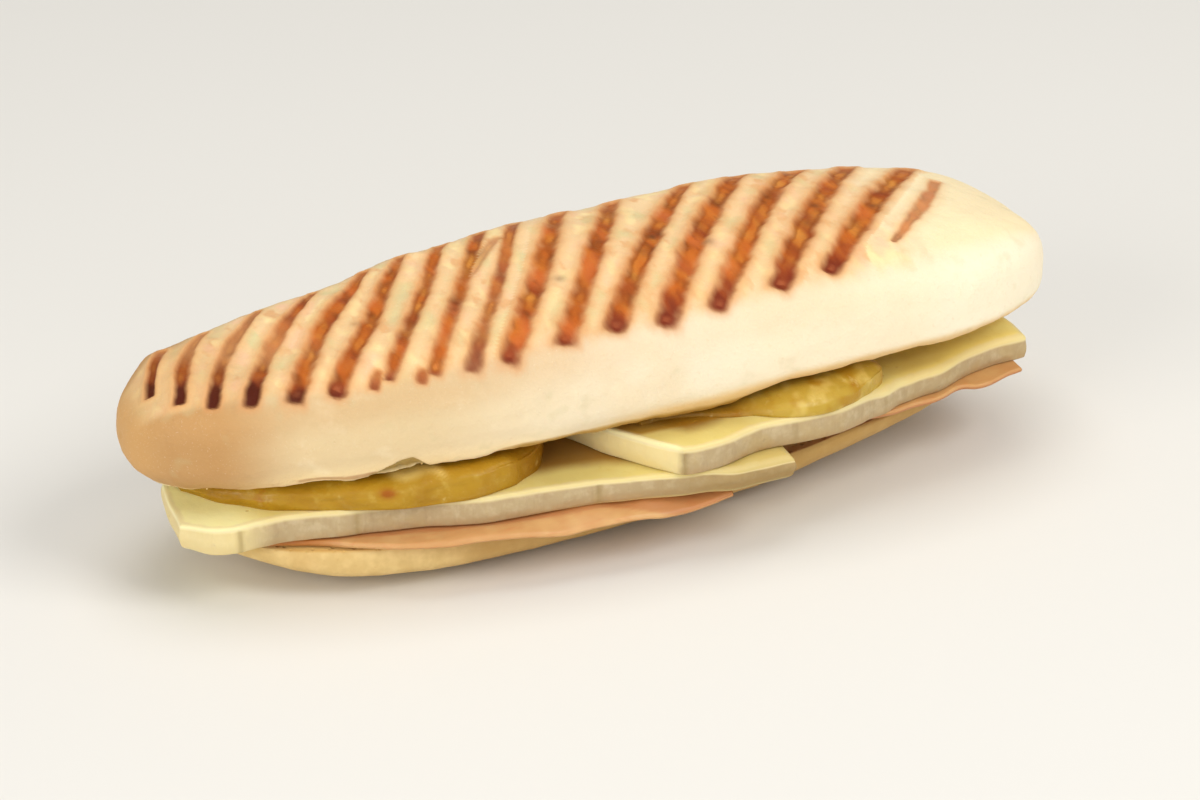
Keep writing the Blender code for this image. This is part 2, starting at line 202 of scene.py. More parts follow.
class PaniniFilling(bpy.types.PropertyGroup):
    """Cheese, egg and ham."""

    rind_width: length_setting("Rind width", "How thick the rind shows on top of a slice", 1.5)
    wrinkle_depth: length_setting("Wrinkle depth", "Depth of the rind's upright wrinkles", 0.28)
    egg_lumps: length_setting("Egg lumps", "Height of the lumps in the egg", 0.9)
    paste: colour_setting("Paste", "The inside of the cheese", (224, 205, 124))
    rind: colour_setting("Rind", "The skin of the cheese", (184, 162, 124))
    egg: colour_setting("Egg", "The cooked egg", (176, 135, 30))
    egg_brown: colour_setting("Browned egg", "Where the egg caught the pan", (160, 88, 8))
    ham: colour_setting("Ham", "The ham's face", (203, 152, 96))
    ham_red: colour_setting("Ham edge", "The redder parts of the ham", (172, 80, 42))


class PaniniCrumbs(bpy.types.PropertyGroup):
    """Crumbs torn loose along the rims."""

    count: IntProperty(name="Crumbs", description="How many crumbs hang on a rim", default=90,
                       min=0)
    smallest: length_setting("Smallest", "Half the width of the smallest crumb", 0.18)
    largest: length_setting("Largest", "Half the width of the largest crumb", 0.6)
    seed: IntProperty(name="Seed", description="Shuffles the crumbs", default=4, min=0)


# ---------------------------------------------------------------- node trees

class Wire:
    """An output socket of a node tree.  Sums written with it add Math nodes to the tree."""

    def __init__(self, bench, socket):
        self.bench = bench
        self.socket = socket

    def __add__(self, other):
        return self.bench.math("ADD", self, other)

    def __radd__(self, other):
        return self.bench.math("ADD", other, self)

    def __sub__(self, other):
        return self.bench.math("SUBTRACT", self, other)

    def __rsub__(self, other):
        return self.bench.math("SUBTRACT", other, self)

    def __mul__(self, other):
        return self.bench.math("MULTIPLY", self, other)

    def __truediv__(self, other):
        return self.bench.math("DIVIDE", self, other)

    def __rtruediv__(self, other):
        return self.bench.math("DIVIDE", other, self)

    def ease(self, low, high):
        """0 up to low, 1 from high, and a smooth step between.  Low may be the larger."""
        return self.bench.add("ShaderNodeMapRange", {"interpolation_type": "SMOOTHSTEP"},
                              {"Value": self, "From Min": low, "From Max": high})

    def hump(self, start, low, high, end):
        """0 outside start and end, and 1 between low and high."""
        return self.ease(start, low) * self.ease(end, high)


class Bench:
    """A node tree and the one method that adds a node to it."""

    def __init__(self, tree):
        self.tree = tree

    def add(self, kind, settings=None, inputs=None, output=0):
        node = self.tree.nodes.new(kind)
        for name, value in (settings or {}).items():
            setattr(node, name, value)
        for key, value in (inputs or {}).items():
            if isinstance(value, Wire):
                self.tree.links.new(value.socket, node.inputs[key])
            else:
                node.inputs[key].default_value = value
        return Wire(self, node.outputs[output])

    def math(self, operation, first, second):
        """One Math node over wires or numbers."""
        return self.add("ShaderNodeMath", {"operation": operation}, {0: first, 1: second})

    def noise(self, place, size, detail=2.0, roughness=0.5, seed=0.0):
        """Noise from 0 to 1 with lumps about size millimetres wide."""
        return self.add("ShaderNodeTexNoise", {"noise_dimensions": "4D"},
                        {"Vector": place, "W": seed, "Scale": 1.0 / (size * MM),
                         "Detail": detail, "Roughness": roughness})

    def cells(self, place, size):
        """Distance to the middle of the nearest of many cells size millimetres wide."""
        return self.add("ShaderNodeTexVoronoi", {},
                        {"Vector": place, "Scale": 1.0 / (size * MM)})

    def stretched(self, place, scale):
        """The place with each axis scaled, for a pattern drawn out along one of them."""
        return self.add("ShaderNodeVectorMath", {"operation": "MULTIPLY"}, {0: place, 1: scale})

    def scaled(self, vector, factor):
        """A vector made longer or shorter as a whole."""
        return self.add("ShaderNodeVectorMath", {"operation": "SCALE"},
                        {0: vector, "Scale": factor})


class Finish(Bench):
    """A material around one Principled shader, with constants set on the shader's sockets."""

    def __init__(self, name, constants):
        self.material = bpy.data.materials.new(name)
        self.material.use_nodes = True
        super().__init__(self.material.node_tree)
        self.shader = self.tree.nodes["Principled BSDF"]
        for socket, value in constants.items():
            self.shader.inputs[socket].default_value = value
        self.place = self.add("ShaderNodeTexCoord", {}, {}, "Object")

    def axis(self, letter):
        """One coordinate of the place."""
        return self.add("ShaderNodeSeparateXYZ", {}, {0: self.place}, letter)

    def value(self, name):
        """An attribute of the piece."""
        return self.add("ShaderNodeAttribute", {"attribute_name": name}, {}, "Fac")

    def coats(self, colour, *coats):
        """A colour under coats of (colour, share) or (factors, share, "MULTIPLY"), laid in turn.

        A colour is a wire or three numbers.
        """
        for coat, share, *way in coats:
            under, over = (c if isinstance(c, Wire) else (*c, 1.0) for c in (colour, coat))
            colour = self.add("ShaderNodeMix",
                              {"data_type": "RGBA", "blend_type": way[0] if way else "MIX"},
                              {0: share, 6: under, 7: over}, 2)
        return colour

    def bumps(self, *dents):
        """A normal with dents of (height, depth in millimetres) laid over one another."""
        before = {}
        for height, depth in dents:
            inputs = {"Strength": 1.0, "Distance": depth * MM, "Height": height, **before}
            normal = self.add("ShaderNodeBump", {}, inputs)
            before = {"Normal": normal}
        return normal

    def feed(self, **wires):
        """Colour, roughness, coat and normal to the shader."""
        sockets = {"colour": "Base Color", "roughness": "Roughness", "coat": "Coat Weight",
                   "normal": "Normal"}
        for name, wire in wires.items():
            self.tree.links.new(wire.socket, self.shader.inputs[sockets[name]])
        return self.material


class Shaping(Bench):
    """A geometry tree: a mesh and named inputs come in, and a mesh goes out."""

    KINDS = {float: "NodeSocketFloat", int: "NodeSocketInt", "object": "NodeSocketObject",
             "finish": "NodeSocketMaterial"}

    def __init__(self, name, inputs):
        super().__init__(bpy.data.node_groups.new(name, "GeometryNodeTree"))
        faces = self.tree.interface
        faces.new_socket("Mesh", in_out="INPUT", socket_type="NodeSocketGeometry")
        faces.new_socket("Mesh", in_out="OUTPUT", socket_type="NodeSocketGeometry")
        for label, kind in inputs.items():
            faces.new_socket(label, in_out="INPUT", socket_type=self.KINDS[kind])
        self.entry = self.tree.nodes.new("NodeGroupInput")
        self.exit = self.tree.nodes.new("NodeGroupOutput")

    def given(self, label):
        return Wire(self, self.entry.outputs[label])

    def value(self, name):
        """A named attribute of the mesh."""
        return self.add("GeometryNodeInputNamedAttribute", {"data_type": "FLOAT"},
                        {"Name": name}, "Attribute")

    def keep(self, mesh, name, wire):
        """Stores a value at every point under a name."""
        return self.add("GeometryNodeStoreNamedAttribute",
                        {"data_type": "FLOAT", "domain": "POINT"},
                        {"Geometry": mesh, "Name": name, "Value": wire})

    def push(self, mesh, height):
        """Moves every point outwards by a height."""
        normal = self.add("GeometryNodeInputNormal")
        return self.add("GeometryNodeSetPosition", {},
                        {"Geometry": mesh, "Offset": self.scaled(normal, height)})

    def finish(self, mesh):
        """Ends the tree: instances become real and the finish goes on."""
        real = self.add("GeometryNodeRealizeInstances", {}, {"Geometry": mesh})
        coated = self.add("GeometryNodeSetMaterial", {},
                          {"Geometry": real, "Material": self.given("Finish")})
        self.tree.links.new(coated.socket, self.exit.inputs["Mesh"])
        return self.tree

    @staticmethod
    def run(tree, item, values):
        """Runs a tree on an item and leaves the result as its plain mesh."""
        modifier = item.modifiers.new(tree.name, "NODES")
        modifier.node_group = tree
        sockets = {s.name: s.identifier for s in tree.interface.items_tree
                   if s.item_type == "SOCKET" and s.in_out == "INPUT"}
        for label, value in values.items():
            modifier[sockets[label]] = value
        bpy.context.view_layer.update()
        graph = bpy.context.evaluated_depsgraph_get()
        shaped = bpy.data.meshes.new_from_object(item.evaluated_get(graph))
        item.modifiers.clear()
        plain = item.data
        item.data = shaped
        shaped.name = item.name
        bpy.data.meshes.remove(plain)
        if not shaped.vertices:
            raise RuntimeError(f"{tree.name} left {item.name} empty")
        return item


# ---------------------------------------------------------------- shape rules of the roll

def ease(low, high, value):
    """0 up to low, 1 from high, and a smooth step between.  Low may be the larger."""
    t = np.clip((np.asarray(value, float) - low) / (high - low), 0.0, 1.0)
    return t * t * (3.0 - 2.0 * t)


def hump(start, low, high, end, value):
    """0 outside start and end, and 1 between low and high."""
    return ease(start, low, value) * ease(end, high, value)


def bell(middle, width, value):
    """1 at the middle and falling off smoothly to both sides."""
    return np.exp(-((value - middle) / width) ** 2)


def uneven(x, y, size):
    """The gentle unevenness of a baked surface."""
    a = np.sin(0.083 * x + 0.11 * y + 0.7)
    b = np.sin(0.19 * x - 0.13 * y + 2.1)
    c = np.sin(0.31 * x + 0.27 * y + 4.0)
    return size * (0.5 * a + 0.3 * b + 0.2 * c)


def mottle(x, y, span, seed):
    """Smooth noise from -1 to 1 over a plane, in lumps about span wide."""
    u = np.asarray(x, float) / span
    v = np.asarray(y, float) / span
    i = np.floor(u).astype(np.int64)
    j = np.floor(v).astype(np.int64)
    su = (u - i) ** 2 * (3.0 - 2.0 * (u - i))
    sv = (v - j) ** 2 * (3.0 - 2.0 * (v - j))

    def corner(across, up):
        """A number from -1 to 1 that is always the same at one corner of the lumps' grid."""
        mixed = (i + across) * 374761393 + (j + up) * 668265263 + seed * 1442695041
        mixed = (mixed ^ (mixed >> 13)) * 1274126177
        return ((mixed ^ (mixed >> 16)) & 0xFFFF) / 32767.5 - 1.0

    low = corner(0, 0) * (1.0 - su) + corner(1, 0) * su
    high = corner(0, 1) * (1.0 - su) + corner(1, 1) * su
    return low * (1.0 - sv) + high * sv


def part_along(x, left, right):
    """From -1 at x = -left over 0 to 1 at x = right."""
    return np.clip(x / np.where(np.asarray(x) > 0.0, right, left), -1.0, 1.0)


def roll_part(x):
    """-1 at the left tip of the top bread and 1 at its right tip."""
    return part_along(x, LEFT_HALF, RIGHT_HALF)


def base_half_width(x):
    part = part_along(x, BASE_LEFT, BASE_RIGHT)
    return 0.5 * BASE_WIDTH * (1.0 - np.abs(part) ** 2.6) ** 0.45


def base_top(x):
    """The cut face of the bottom bread."""
    return BASE_HEIGHT + BASE_TILT * x + BASE_SWELL * ease(38.0, 80.0, x)


def cheese_lower_bottom(x):
    return BASE_HEIGHT + BASE_TILT * x + HAM_THICKNESS + 2.0 * GAP


def cheese_lower_top(x):
    return cheese_lower_bottom(x) + CHEESE_THICKNESS


def cheese_upper_bottom(x):
    carried = cheese_lower_top(np.minimum(x, OVERLAP_END)) + GAP
    return carried - UPPER_SINK * ease(OVERLAP_END + 2.0, 100.0, x)


def cheese_upper_top(x):
    return cheese_upper_bottom(x) + CHEESE_THICKNESS


def cut_height(x):
    """The cut face of the top bread."""
    s = roll_part(x)
    return CUT_HEIGHT + CUT_TILT * s - CUT_BEND * s * s


def top_half_width(x):
    s = roll_part(x)
    bluntness = np.where(s > 0.0, 4.3, 2.0)
    return 0.5 * TOP_WIDTH * (1.0 - np.abs(s) ** bluntness) ** 0.4 * (1.0 + 0.02 * s)


def crown_height(x):
    s = roll_part(x)
    bluntness = np.where(s > 0.0, 3.1, 6.5)
    return CROWN_HEIGHT * (1.0 - np.abs(s) ** bluntness) ** 0.37 * (1.0 + CROWN_GROWTH * s)


def crown_rise(across):
    """The crown's height as a share, from its middle at 0 to its edges at -1 and 1."""
    return (1.0 - np.abs(across) ** 3.3) ** 0.31


def crown_sway(x):
    """How the line of the crown wanders up and down along the roll."""
    return (2.2 * bell(-111.5, 4.5, x) - 1.9 * hump(-106.0, -88.0, -58.0, -40.0, x)
            + 1.5 * bell(1.0, 16.0, x) + 0.8 * hump(16.0, 32.0, 58.0, 76.0, x))


def wall_height(x):
    """How high the wall of the top bread is between the cut face and the crown."""
    return WALL_HEIGHT + roll_part(x) ** 6


def crown_z(x, y):
    """Height of the crown at a place, y measured from the ring's own middle."""
    across = np.clip(y / top_half_width(x), -1.0, 1.0)
    plain = crown_height(x) * crown_rise(across)
    swayed = plain + crown_sway(x) * ease(-0.75, 0.0, across)
    rise = swayed * ease(1.0, 0.9, across) + plain * ease(0.9, 1.0, across)
    return cut_height(x) + wall_height(x) + rise + uneven(x, y, 0.5) * ease(0.0, 6.0, rise)


def bowed(x, y):
    """Both tips of the roll swing to the near side."""
    return y - SIDE_BOW * roll_part(x) ** 2


def gape(x):
    """How far the near rim of the top bread stands open over the egg, 0 to about 1."""
    return hump(24.0, 44.0, 104.0, 127.0, x) * (1.0 + 0.22 * bell(79.0, 7.0, x)
                                                - 0.15 * bell(68.0, 5.0, x))


def rim_inset(x, tuck=RIM_INSET):
    """How far the foot of the top bread's wall is set in, less where the roll is narrow."""
    width = top_half_width(x)
    return tuck * width / (width + tuck)


def near_rim(x):
    """Where the near rim of the top bread is, as (y, z) before it is bowed."""
    inset = rim_inset(x, RIM_INSET + RIM_TUCK * gape(x))
    return inset - top_half_width(x), cut_height(x) + RIM_LIFT * gape(x)


def torn_top(x):
    """How far down the near wall, as a share of it, the torn place above the rim begins."""
    return np.interp(x, (-86, -74, -70, -66.5, -63.5, -60.5, -58.8, -57.2),
                     (0.88, 0.84, 0.74, 0.56, 0.42, 0.4, 0.56, 0.93))


def torn_depth(x):
    """How deep the torn place goes in."""
    return np.interp(x, (-87, -81, -74, -69, -64, -60, -57), (0, 0.4, 0.6, 1.4, 2.0, 1.9, 0))


def rim_shade(x):
    """How strongly shade is painted on the near rim where the crust turns under, 0 to 1."""
    return hump(-44.0, -30.0, 92.0, 108.0, x) * (1.0 - 0.6 * ease(44.0, 58.0, x))


def base_shift(x):
    """How far the near side of the bottom half is set in at a place along it."""
    return np.interp(x, (-107, -88, -70, -55, -38, -20, -2, 20, 40, 58, 75, 92, 109),
                     (0, -1.8, -2.4, -1.6, 0.4, 2.4, 3.7, 4.4, 4.5, 3.6, 1.8, 0.5, 0))


def roll_origin():
    """Where the roll's own origin is in the frame of the solids, told by the left tip."""
    corners = [v.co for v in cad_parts["top_bread"].data.vertices]
    tip = min(corners, key=lambda corner: corner.x)
    height = float(cut_height(-LEFT_HALF) + wall_height(-LEFT_HALF))
    return np.array(tip) - np.array((-LEFT_HALF, -SIDE_BOW, height)) * MM


ORIGIN = roll_origin()


# ---------------------------------------------------------------- steps and curves

def stations(left, right, count, crowding):
    """Places along a loaf, closer together towards both tips and one right beside each."""
    t = (np.arange(count) + 1.0) / (count + 1.0)
    share = (1.0 - crowding) * t + crowding * 0.5 * (1.0 - np.cos(math.pi * t))
    beside = 0.003
    return np.concatenate([[left + beside], left + (right - left) * share, [right - beside]])


def even_across(count):
    """Shares of the half width from 1 to -1, evenly spaced along the curve of the crown."""
    t = np.linspace(0.0, 1.0, 4001)
    across = 1.0 - (1.0 - t) ** 4
    step = np.hypot(np.diff(across) * 0.5 * TOP_WIDTH, np.diff(crown_rise(across)) * CROWN_HEIGHT)
    reach = np.concatenate([[0.0], np.cumsum(step)])
    half = np.interp(np.linspace(0.0, reach[-1], count), reach, across)
    return np.concatenate([half[::-1], -half[1:]])


def length_of(points):
    """The length of a line straight from point to point."""
    return np.hypot(*np.diff(np.array(points, float), axis=0).T).sum()


def curve_through(points, shares):
    """Places at shares of the length of a smooth line through the points."""
    knots = np.array(points, float)
    lengths = np.concatenate([[0.0], np.cumsum(np.hypot(*np.diff(knots, axis=0).T))])
    reach = np.asarray(shares) * lengths[-1]
    i = np.clip(np.searchsorted(lengths, reach + 1e-9, side="right") - 1, 0, len(knots) - 2)
    t = ((reach - lengths[i]) / (lengths[i + 1] - lengths[i]))[:, None]
    padded = np.concatenate([[2.0 * knots[0] - knots[1]], knots, [2.0 * knots[-1] - knots[-2]]])
    p0, p1, p2, p3 = (padded[i + k] for k in range(4))
    bend = (2.0 * p0 - 5.0 * p1 + 4.0 * p2 - p3) * t ** 2 + (3.0 * p1 - p0 - 3.0 * p2 + p3) * t ** 3
    return p1 + 0.5 * ((p2 - p0) * t + bend)


def graded(length, fine, coarse, margin):
    """Shares of a length: close steps near both ends and longer ones between."""
    edge = np.concatenate([[0.0, 0.12, 0.28, 0.5], np.arange(0.5 + fine, margin, fine)])
    steps = max(int((length - 2.0 * margin) / coarse), 1)
    middle = np.linspace(margin, length - margin, steps + 1)
    return np.concatenate([edge, middle, (length - edge)[::-1]]) / length


def closed_strips(rows):
    """Faces of four between each row of point numbers and the next, the rows running round."""
    return np.stack([rows[:-1], rows[1:], np.roll(rows[1:], -1, axis=1),
                     np.roll(rows[:-1], -1, axis=1)], axis=-1).reshape(-1, 4)


# ---------------------------------------------------------------- meshes

def linked(name, data):
    """A new object in the scene around a mesh, a lamp or a camera."""
    item = bpy.data.objects.new(name, data)
    bpy.context.scene.collection.objects.link(item)
    return item


def make_item(name, points, edges, faces, values):
    """An object from points in millimetres, with one value per point under each name."""
    mesh = bpy.data.meshes.new(name)
    mesh.from_pydata((points * MM + ORIGIN).tolist(), edges, faces)
    mesh.shade_smooth()
    item = linked(name, mesh)
    add_values(item, values)
    return item


def add_values(item, values):
    """Stores one value per point under each name."""
    for name, numbers in values.items():
        item.data.attributes.new(name, "FLOAT", "POINT").data.foreach_set(
            "value", np.asarray(numbers, np.float32).ravel())


def value_of(item, name):
    numbers = np.empty(len(item.data.vertices), np.float32)
    item.data.attributes[name].data.foreach_get("value", numbers)
    return numbers


def places_of(item):
    """The points of an item as x, y and z in millimetres in the roll's own frame."""
    numbers = np.empty(3 * len(item.data.vertices))
    item.data.vertices.foreach_get("co", numbers)
    return ((numbers.reshape(-1, 3) - ORIGIN) / MM).T


def settle(item, node):
    """Hangs a finished piece on the part in the place of its solid."""
    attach(item, "root")
    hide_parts(node)


def loaf(name, rings, middle, values):
    """A closed loaf of rings of points, from the left tip to the right one.

    Each ring runs from the back over the top to the near side and on underneath.  Both tips are
    closed with strips between the ring's near and far halves, which part at its point middle.
    """
    count, around = rings.shape[:2]
    grid = np.arange(count * around).reshape(count, around)
    ahead = np.roll(grid, -1, axis=1)
    quads = np.stack([grid[:-1], ahead[:-1], ahead[1:], grid[1:]], axis=-1).reshape(-1, 4)
    steps = np.arange(around // 2 + 1)
    near = (middle + steps) % around
    far = (middle - steps) % around
    ends = []
    for ring, one, other in ((grid[0], far, near), (grid[-1], near, far)):
        one, other = ring[one], ring[other]
        ends += np.stack([one[:-1], one[1:], other[1:], other[:-1]], axis=-1).tolist()
    ends = [list(dict.fromkeys(face)) for face in ends]
    return make_item(name, rings.reshape(-1, 3), [], quads.tolist() + ends, values)


def crown_points(places, across):
    """The crust over the top, with a blister here and there."""
    x = places + 0.0 * across
    y = across * top_half_width(x)
    crown = np.stack([x, bowed(x, y), crown_z(x, y)], axis=-1)
    for middle_x, middle_y, height, radius in BLISTERS:
        away = np.hypot(crown[..., 0] - middle_x, crown[..., 1] - middle_y)
        crown[..., 2] += height * bell(0.0, radius, away)
    return crown


def wall_points(places, shares, side, pit):
    """The wall at a side, -1 near or 1 far, from the crown down to the cut face.

    pit says from 0 to 1 where the near wall is torn.
    """
    opened = gape(places) * (side < 0.0)
    wide = top_half_width(places)
    tuck = RIM_INSET + RIM_TUCK * opened
    x = places * (1.0 - shares ** 2.2 * RIM_INSET / LEFT_HALF)
    y = side * (wide - tuck * shares ** 2.2 * wide / (wide + tuck))
    z = cut_height(places) + wall_height(places) * (1.0 - shares)
    z = z + uneven(places, y, 0.6) * shares + RIM_LIFT * opened * shares ** 1.6
    ragged = 0.4 * mottle(places, side * 40.0, 6.5, 3) + 0.3 * mottle(places, side * 40.0, 2.3, 5)
    z = z + ragged * shares ** 5
    if side < 0.0:
        z = z + 0.7 * hump(-73.0, -62.0, -59.0, -57.0, places) * shares ** 5
        y = y + torn_depth(places) * pit * (1.0 + 0.3 * mottle(places, 20.0 * shares, 1.6, 7))
    return np.stack([x + 0.0 * z, bowed(x, y) + 0.0 * z, z], axis=-1)


def under_points(places, near, far, share):
    """The cut face between the feet of both walls."""
    under = near[:, -1:] * (1.0 - share[..., None]) + far[:, -1:] * share[..., None]
    middle = cut_height(under[..., 0]) + 0.6 * np.sin(math.pi * share)
    level = ease(0.0, 0.06 + 0.16 * gape(places), share) * ease(0.0, 0.06, 1.0 - share)
    under[..., 2] = under[..., 2] * (1.0 - level) + middle * level
    return under


def top_bread_item():
    """The top half of the roll, before the grill marks are pressed into it."""
    places = stations(-LEFT_HALF, RIGHT_HALF, TOP_RINGS, TOP_CROWDING)[:, None]
    across = even_across(CROWN_POINTS)
    shares = np.linspace(0.0, 1.0, WALL_STEPS + 1)[1:]
    steps = np.arange(1, UNDER_STEPS) / UNDER_STEPS
    share = (0.5 - 0.5 * np.cos(math.pi * steps))[None, :]
    start = torn_top(places)
    pit = hump(start, start + 0.12, 0.9, 0.985, shares)
    crown = crown_points(places, across[None, :])
    near = wall_points(places, shares[None, :], -1.0, pit)
    far = wall_points(places, shares[None, :], 1.0, pit)
    under = under_points(places, near, far, share)
    rings = np.concatenate([crown, near, under, far[:, ::-1]], axis=1)

    # low is -1 on top of the crown, 0 at its edge and 1 at the foot of the wall.
    first = len(across)
    second = first + WALL_STEPS
    level = np.ones(UNDER_STEPS - 1)
    low = np.concatenate([-crown_rise(across), shares, level, shares[::-1]])
    open_foot = ease(0.93, 1.0, shares)
    cut = np.concatenate([0.0 * across, open_foot, level, open_foot[::-1]])
    tipping = np.abs(roll_part(places))
    cut = cut * ease(0.998, 0.985, tipping)
    side, torn, turned, scorch = (np.zeros(cut.shape) for _ in range(4))
    lower = 0.12 * ease(-70.0, -104.0, places)
    shoulder = ease(0.66 - lower, 0.9 - lower, np.abs(across))
    side[:, :first] = np.maximum(shoulder, ease(0.955, 0.995, tipping))
    side[:, first:] = 1.0
    torn[:, first:second] = pit * np.minimum(torn_depth(places), 1.0)
    # turned: painted shade low on the near wall and along the near edge of the cut face, where the
    # rim turns under.
    turned[:, first:second] = ease(0.6, 0.88, shares)
    turned[:, second:second + UNDER_STEPS - 1] = ease(0.3, 0.1, share)
    turned *= rim_shade(places)
    for middle_x, middle_y, radius, strength in SCORCHES:
        away = np.hypot(crown[..., 0] - middle_x, crown[..., 1] - middle_y)
        scorch[:, :first] += strength * bell(0.0, radius, away)
    return loaf("roll_top", rings, first // 2, {
        "low": np.tile(low, len(places)), "side": side, "cut": cut, "scorch": scorch,
        "torn": torn, "turned": turned})


def base_rings(places):
    """The bottom half: over its cut face from the back, then down the near side and under."""
    width = base_half_width(places)
    flaring = ease(-30.0, 90.0, places)
    lift = ease(30.0, 95.0, places) + ease(75.0, BASE_LEFT, -places)
    top = base_top(places)
    low = top - (top + 1.0 - BASE_RISE * lift) * (2.0 * width / BASE_WIDTH) ** 0.6
    belly = low + (0.6 + 0.3 * flaring) * (top - low)
    flare = 0.85 + 0.2 * flaring
    across = np.sin(np.linspace(0.5 * math.pi, -0.5 * math.pi, BASE_FACE_POINTS))[None, :]
    edge = width - 0.8 * width / (width + 1.0)
    level = top - 0.8 * np.abs(across) ** 8
    face = np.stack([places + 0.0 * across, across * edge, level], axis=-1)
    angle = np.linspace(0.0, math.pi, BASE_HULL_POINTS)[None, :]
    turn = np.sign(np.cos(angle)) * np.abs(np.cos(angle)) ** flare
    drop = np.abs(np.sin(angle)) ** flare
    hull = np.stack([places + 0.0 * angle, -width * turn, belly - (belly - low) * drop], axis=-1)

    def corner(start, end, side):
        """The rounded step between the cut face and the hull."""
        shares = np.linspace(0.0, 1.0, BASE_CORNER_STEPS + 1)[1:-1][None, :, None]
        points = start * (1.0 - shares) + end * shares
        points[..., 1:2] += side * 0.25 * np.sin(math.pi * shares)
        return points

    rings = np.concatenate([face, corner(face[:, -1:], hull[:, :1], -1.0), hull,
                            corner(hull[:, -1:], face[:, :1], 1.0)], axis=1)
    near = np.clip(-rings[..., 1] / np.maximum(width, 1.0), 0.0, 1.0)
    rings[..., 1] += base_shift(places) * near
    rings[..., 2] = np.maximum(rings[..., 2], 0.0)
    return rings


def bottom_bread_item():
    places = stations(-BASE_LEFT, BASE_RIGHT, BASE_RINGS, BASE_CROWDING)[:, None]
    rings = base_rings(places)
    on_face = np.arange(rings.shape[1]) < BASE_FACE_POINTS
    cut = on_face * ease(1.0, 0.985, np.abs(part_along(places, BASE_LEFT, BASE_RIGHT)))
    lying = ease(1.2, 0.2, rings[..., 2])
    return loaf("roll_base", rings, BASE_FACE_POINTS // 2, {"cut": cut, "lying": lying})


def plan_of(sides, us, vs):
    """A grid of places inside four sides: near, right, far and left, running anticlockwise."""
    near = curve_through(sides[0], us)[:, None, :]
    right = curve_through(sides[1], vs)[None, :, :]
    far = curve_through(sides[2], 1.0 - us)[:, None, :]
    left = curve_through(sides[3], 1.0 - vs)[None, :, :]
    corners = [np.array(side[0], float) for side in sides]
    u = us[:, None, None]
    v = vs[None, :, None]
    ruled = (1.0 - v) * near + v * far + (1.0 - u) * left + u * right
    bottom = (1.0 - u) * corners[0] + u * corners[1]
    top = (1.0 - u) * corners[3] + u * corners[2]
    return ruled - (1.0 - v) * bottom - v * top


def outline_of(grid):
    """The grid's outline, anticlockwise from its near left corner."""
    return np.concatenate([grid[:-1, 0], grid[-1, :-1], grid[:0:-1, -1], grid[0, :0:-1]])


def depth_inside(plan, outline):
    """How far each place of a plan is inside its outline."""
    flat = plan.reshape(-1, 2)
    depth = np.empty(len(flat))
    batch = 2000
    for start in range(0, len(flat), batch):
        part = flat[start:start + batch, None, :] - outline[None, :, :]
        depth[start:start + batch] = np.sqrt((part ** 2).sum(axis=-1).min(axis=1))
    return depth.reshape(plan.shape[:2])


def rounded(inside, fall, reach):
    """How far an edge rounded by a fall over a reach falls at a depth inside its outline."""
    share = 1.0 - np.clip(inside / reach, 0.0, 1.0)
    return fall * (1.0 - np.sqrt(np.maximum(1.0 - share ** 2, 0.0)))


def wall_rows(rim, top, low, swell):
    """The rows of points of a slab's wall, and which share of the way down each is.

    rim is the outline, top and low the heights along it, and swell the wall's rule.
    """
    tangent = np.roll(rim, -3, axis=0) - np.roll(rim, 3, axis=0)
    tangent /= np.maximum(np.hypot(*tangent.T), 1e-6)[:, None]
    outward = np.stack([tangent[:, 1], -tangent[:, 0]], axis=-1)
    steps = max(int((top - low).mean() / WALL_STEP), 3)
    shares = [k / steps for k in range(1, steps)]
    rows = []
    for share in shares:
        spot = rim + outward * np.reshape(swell(rim, share), (-1, 1))
        rows.append(np.column_stack([spot, top + (low - top) * share]))
    return rows, shares


def slab(name, sides, low, high, edges, wobble, swell, step=SLAB_STEP):
    """A slab between two heights, with rounded edges and a wall that swells a little.

    low and high give the height at (x, y, depth inside the outline), edges the (fall, reach) of
    the top and the bottom edge from x, and wobble is (size, span, seed) of the outline's wander.
    swell(rim, share) tells how far the wall stands out at a share of the way down.
    """
    size = [length_of(side) for side in sides]
    along = 0.5 * (size[0] + size[2])
    deep = 0.5 * (size[1] + size[3])
    us = graded(along, step, step, 0.5 * along - 1.0)
    vs = graded(deep, EDGE_STEP, MIDDLE_STEP, min(14.0, 0.4 * deep))
    plan = plan_of(sides, us, vs)
    amount, span, seed = wobble
    plan[..., 0] += amount * mottle(plan[..., 0], plan[..., 1], span, seed)
    plan[..., 1] += amount * mottle(plan[..., 0], plan[..., 1], span, seed + 1)
    rim = outline_of(plan)
    inside = depth_inside(plan, rim)
    x, y = plan[..., 0], plan[..., 1]
    upper = high(x, y, inside) - rounded(inside, *edges[0](x))
    lower = low(x, y, inside) + rounded(inside, *edges[1](x))
    grid = np.arange(inside.size).reshape(inside.shape)
    quads = np.stack([grid[:-1, :-1], grid[1:, :-1], grid[1:, 1:], grid[:-1, 1:]],
                     axis=-1).reshape(-1, 4)
    walls, shares = wall_rows(rim, outline_of(upper), outline_of(lower), swell)
    loop = outline_of(grid)
    between = 2 * inside.size + np.arange(len(walls) * len(loop)).reshape(len(walls), -1)
    rows = np.concatenate([loop[None, :], between, loop[None, :] + inside.size])
    faces = np.concatenate([quads, quads[:, ::-1] + inside.size, closed_strips(rows)])
    points = np.concatenate([np.column_stack([x.ravel(), y.ravel(), upper.ravel()]),
                             np.column_stack([x.ravel(), y.ravel(), lower.ravel()])] + walls)
    down = np.repeat([0.0, 1.0] + shares, [inside.size] * 2 + [len(loop)] * len(walls))
    depth = np.concatenate([inside.ravel(), inside.ravel(), np.zeros(between.size)])
    return make_item(name, points, [], faces.tolist(), {"down": down, "inside": depth})


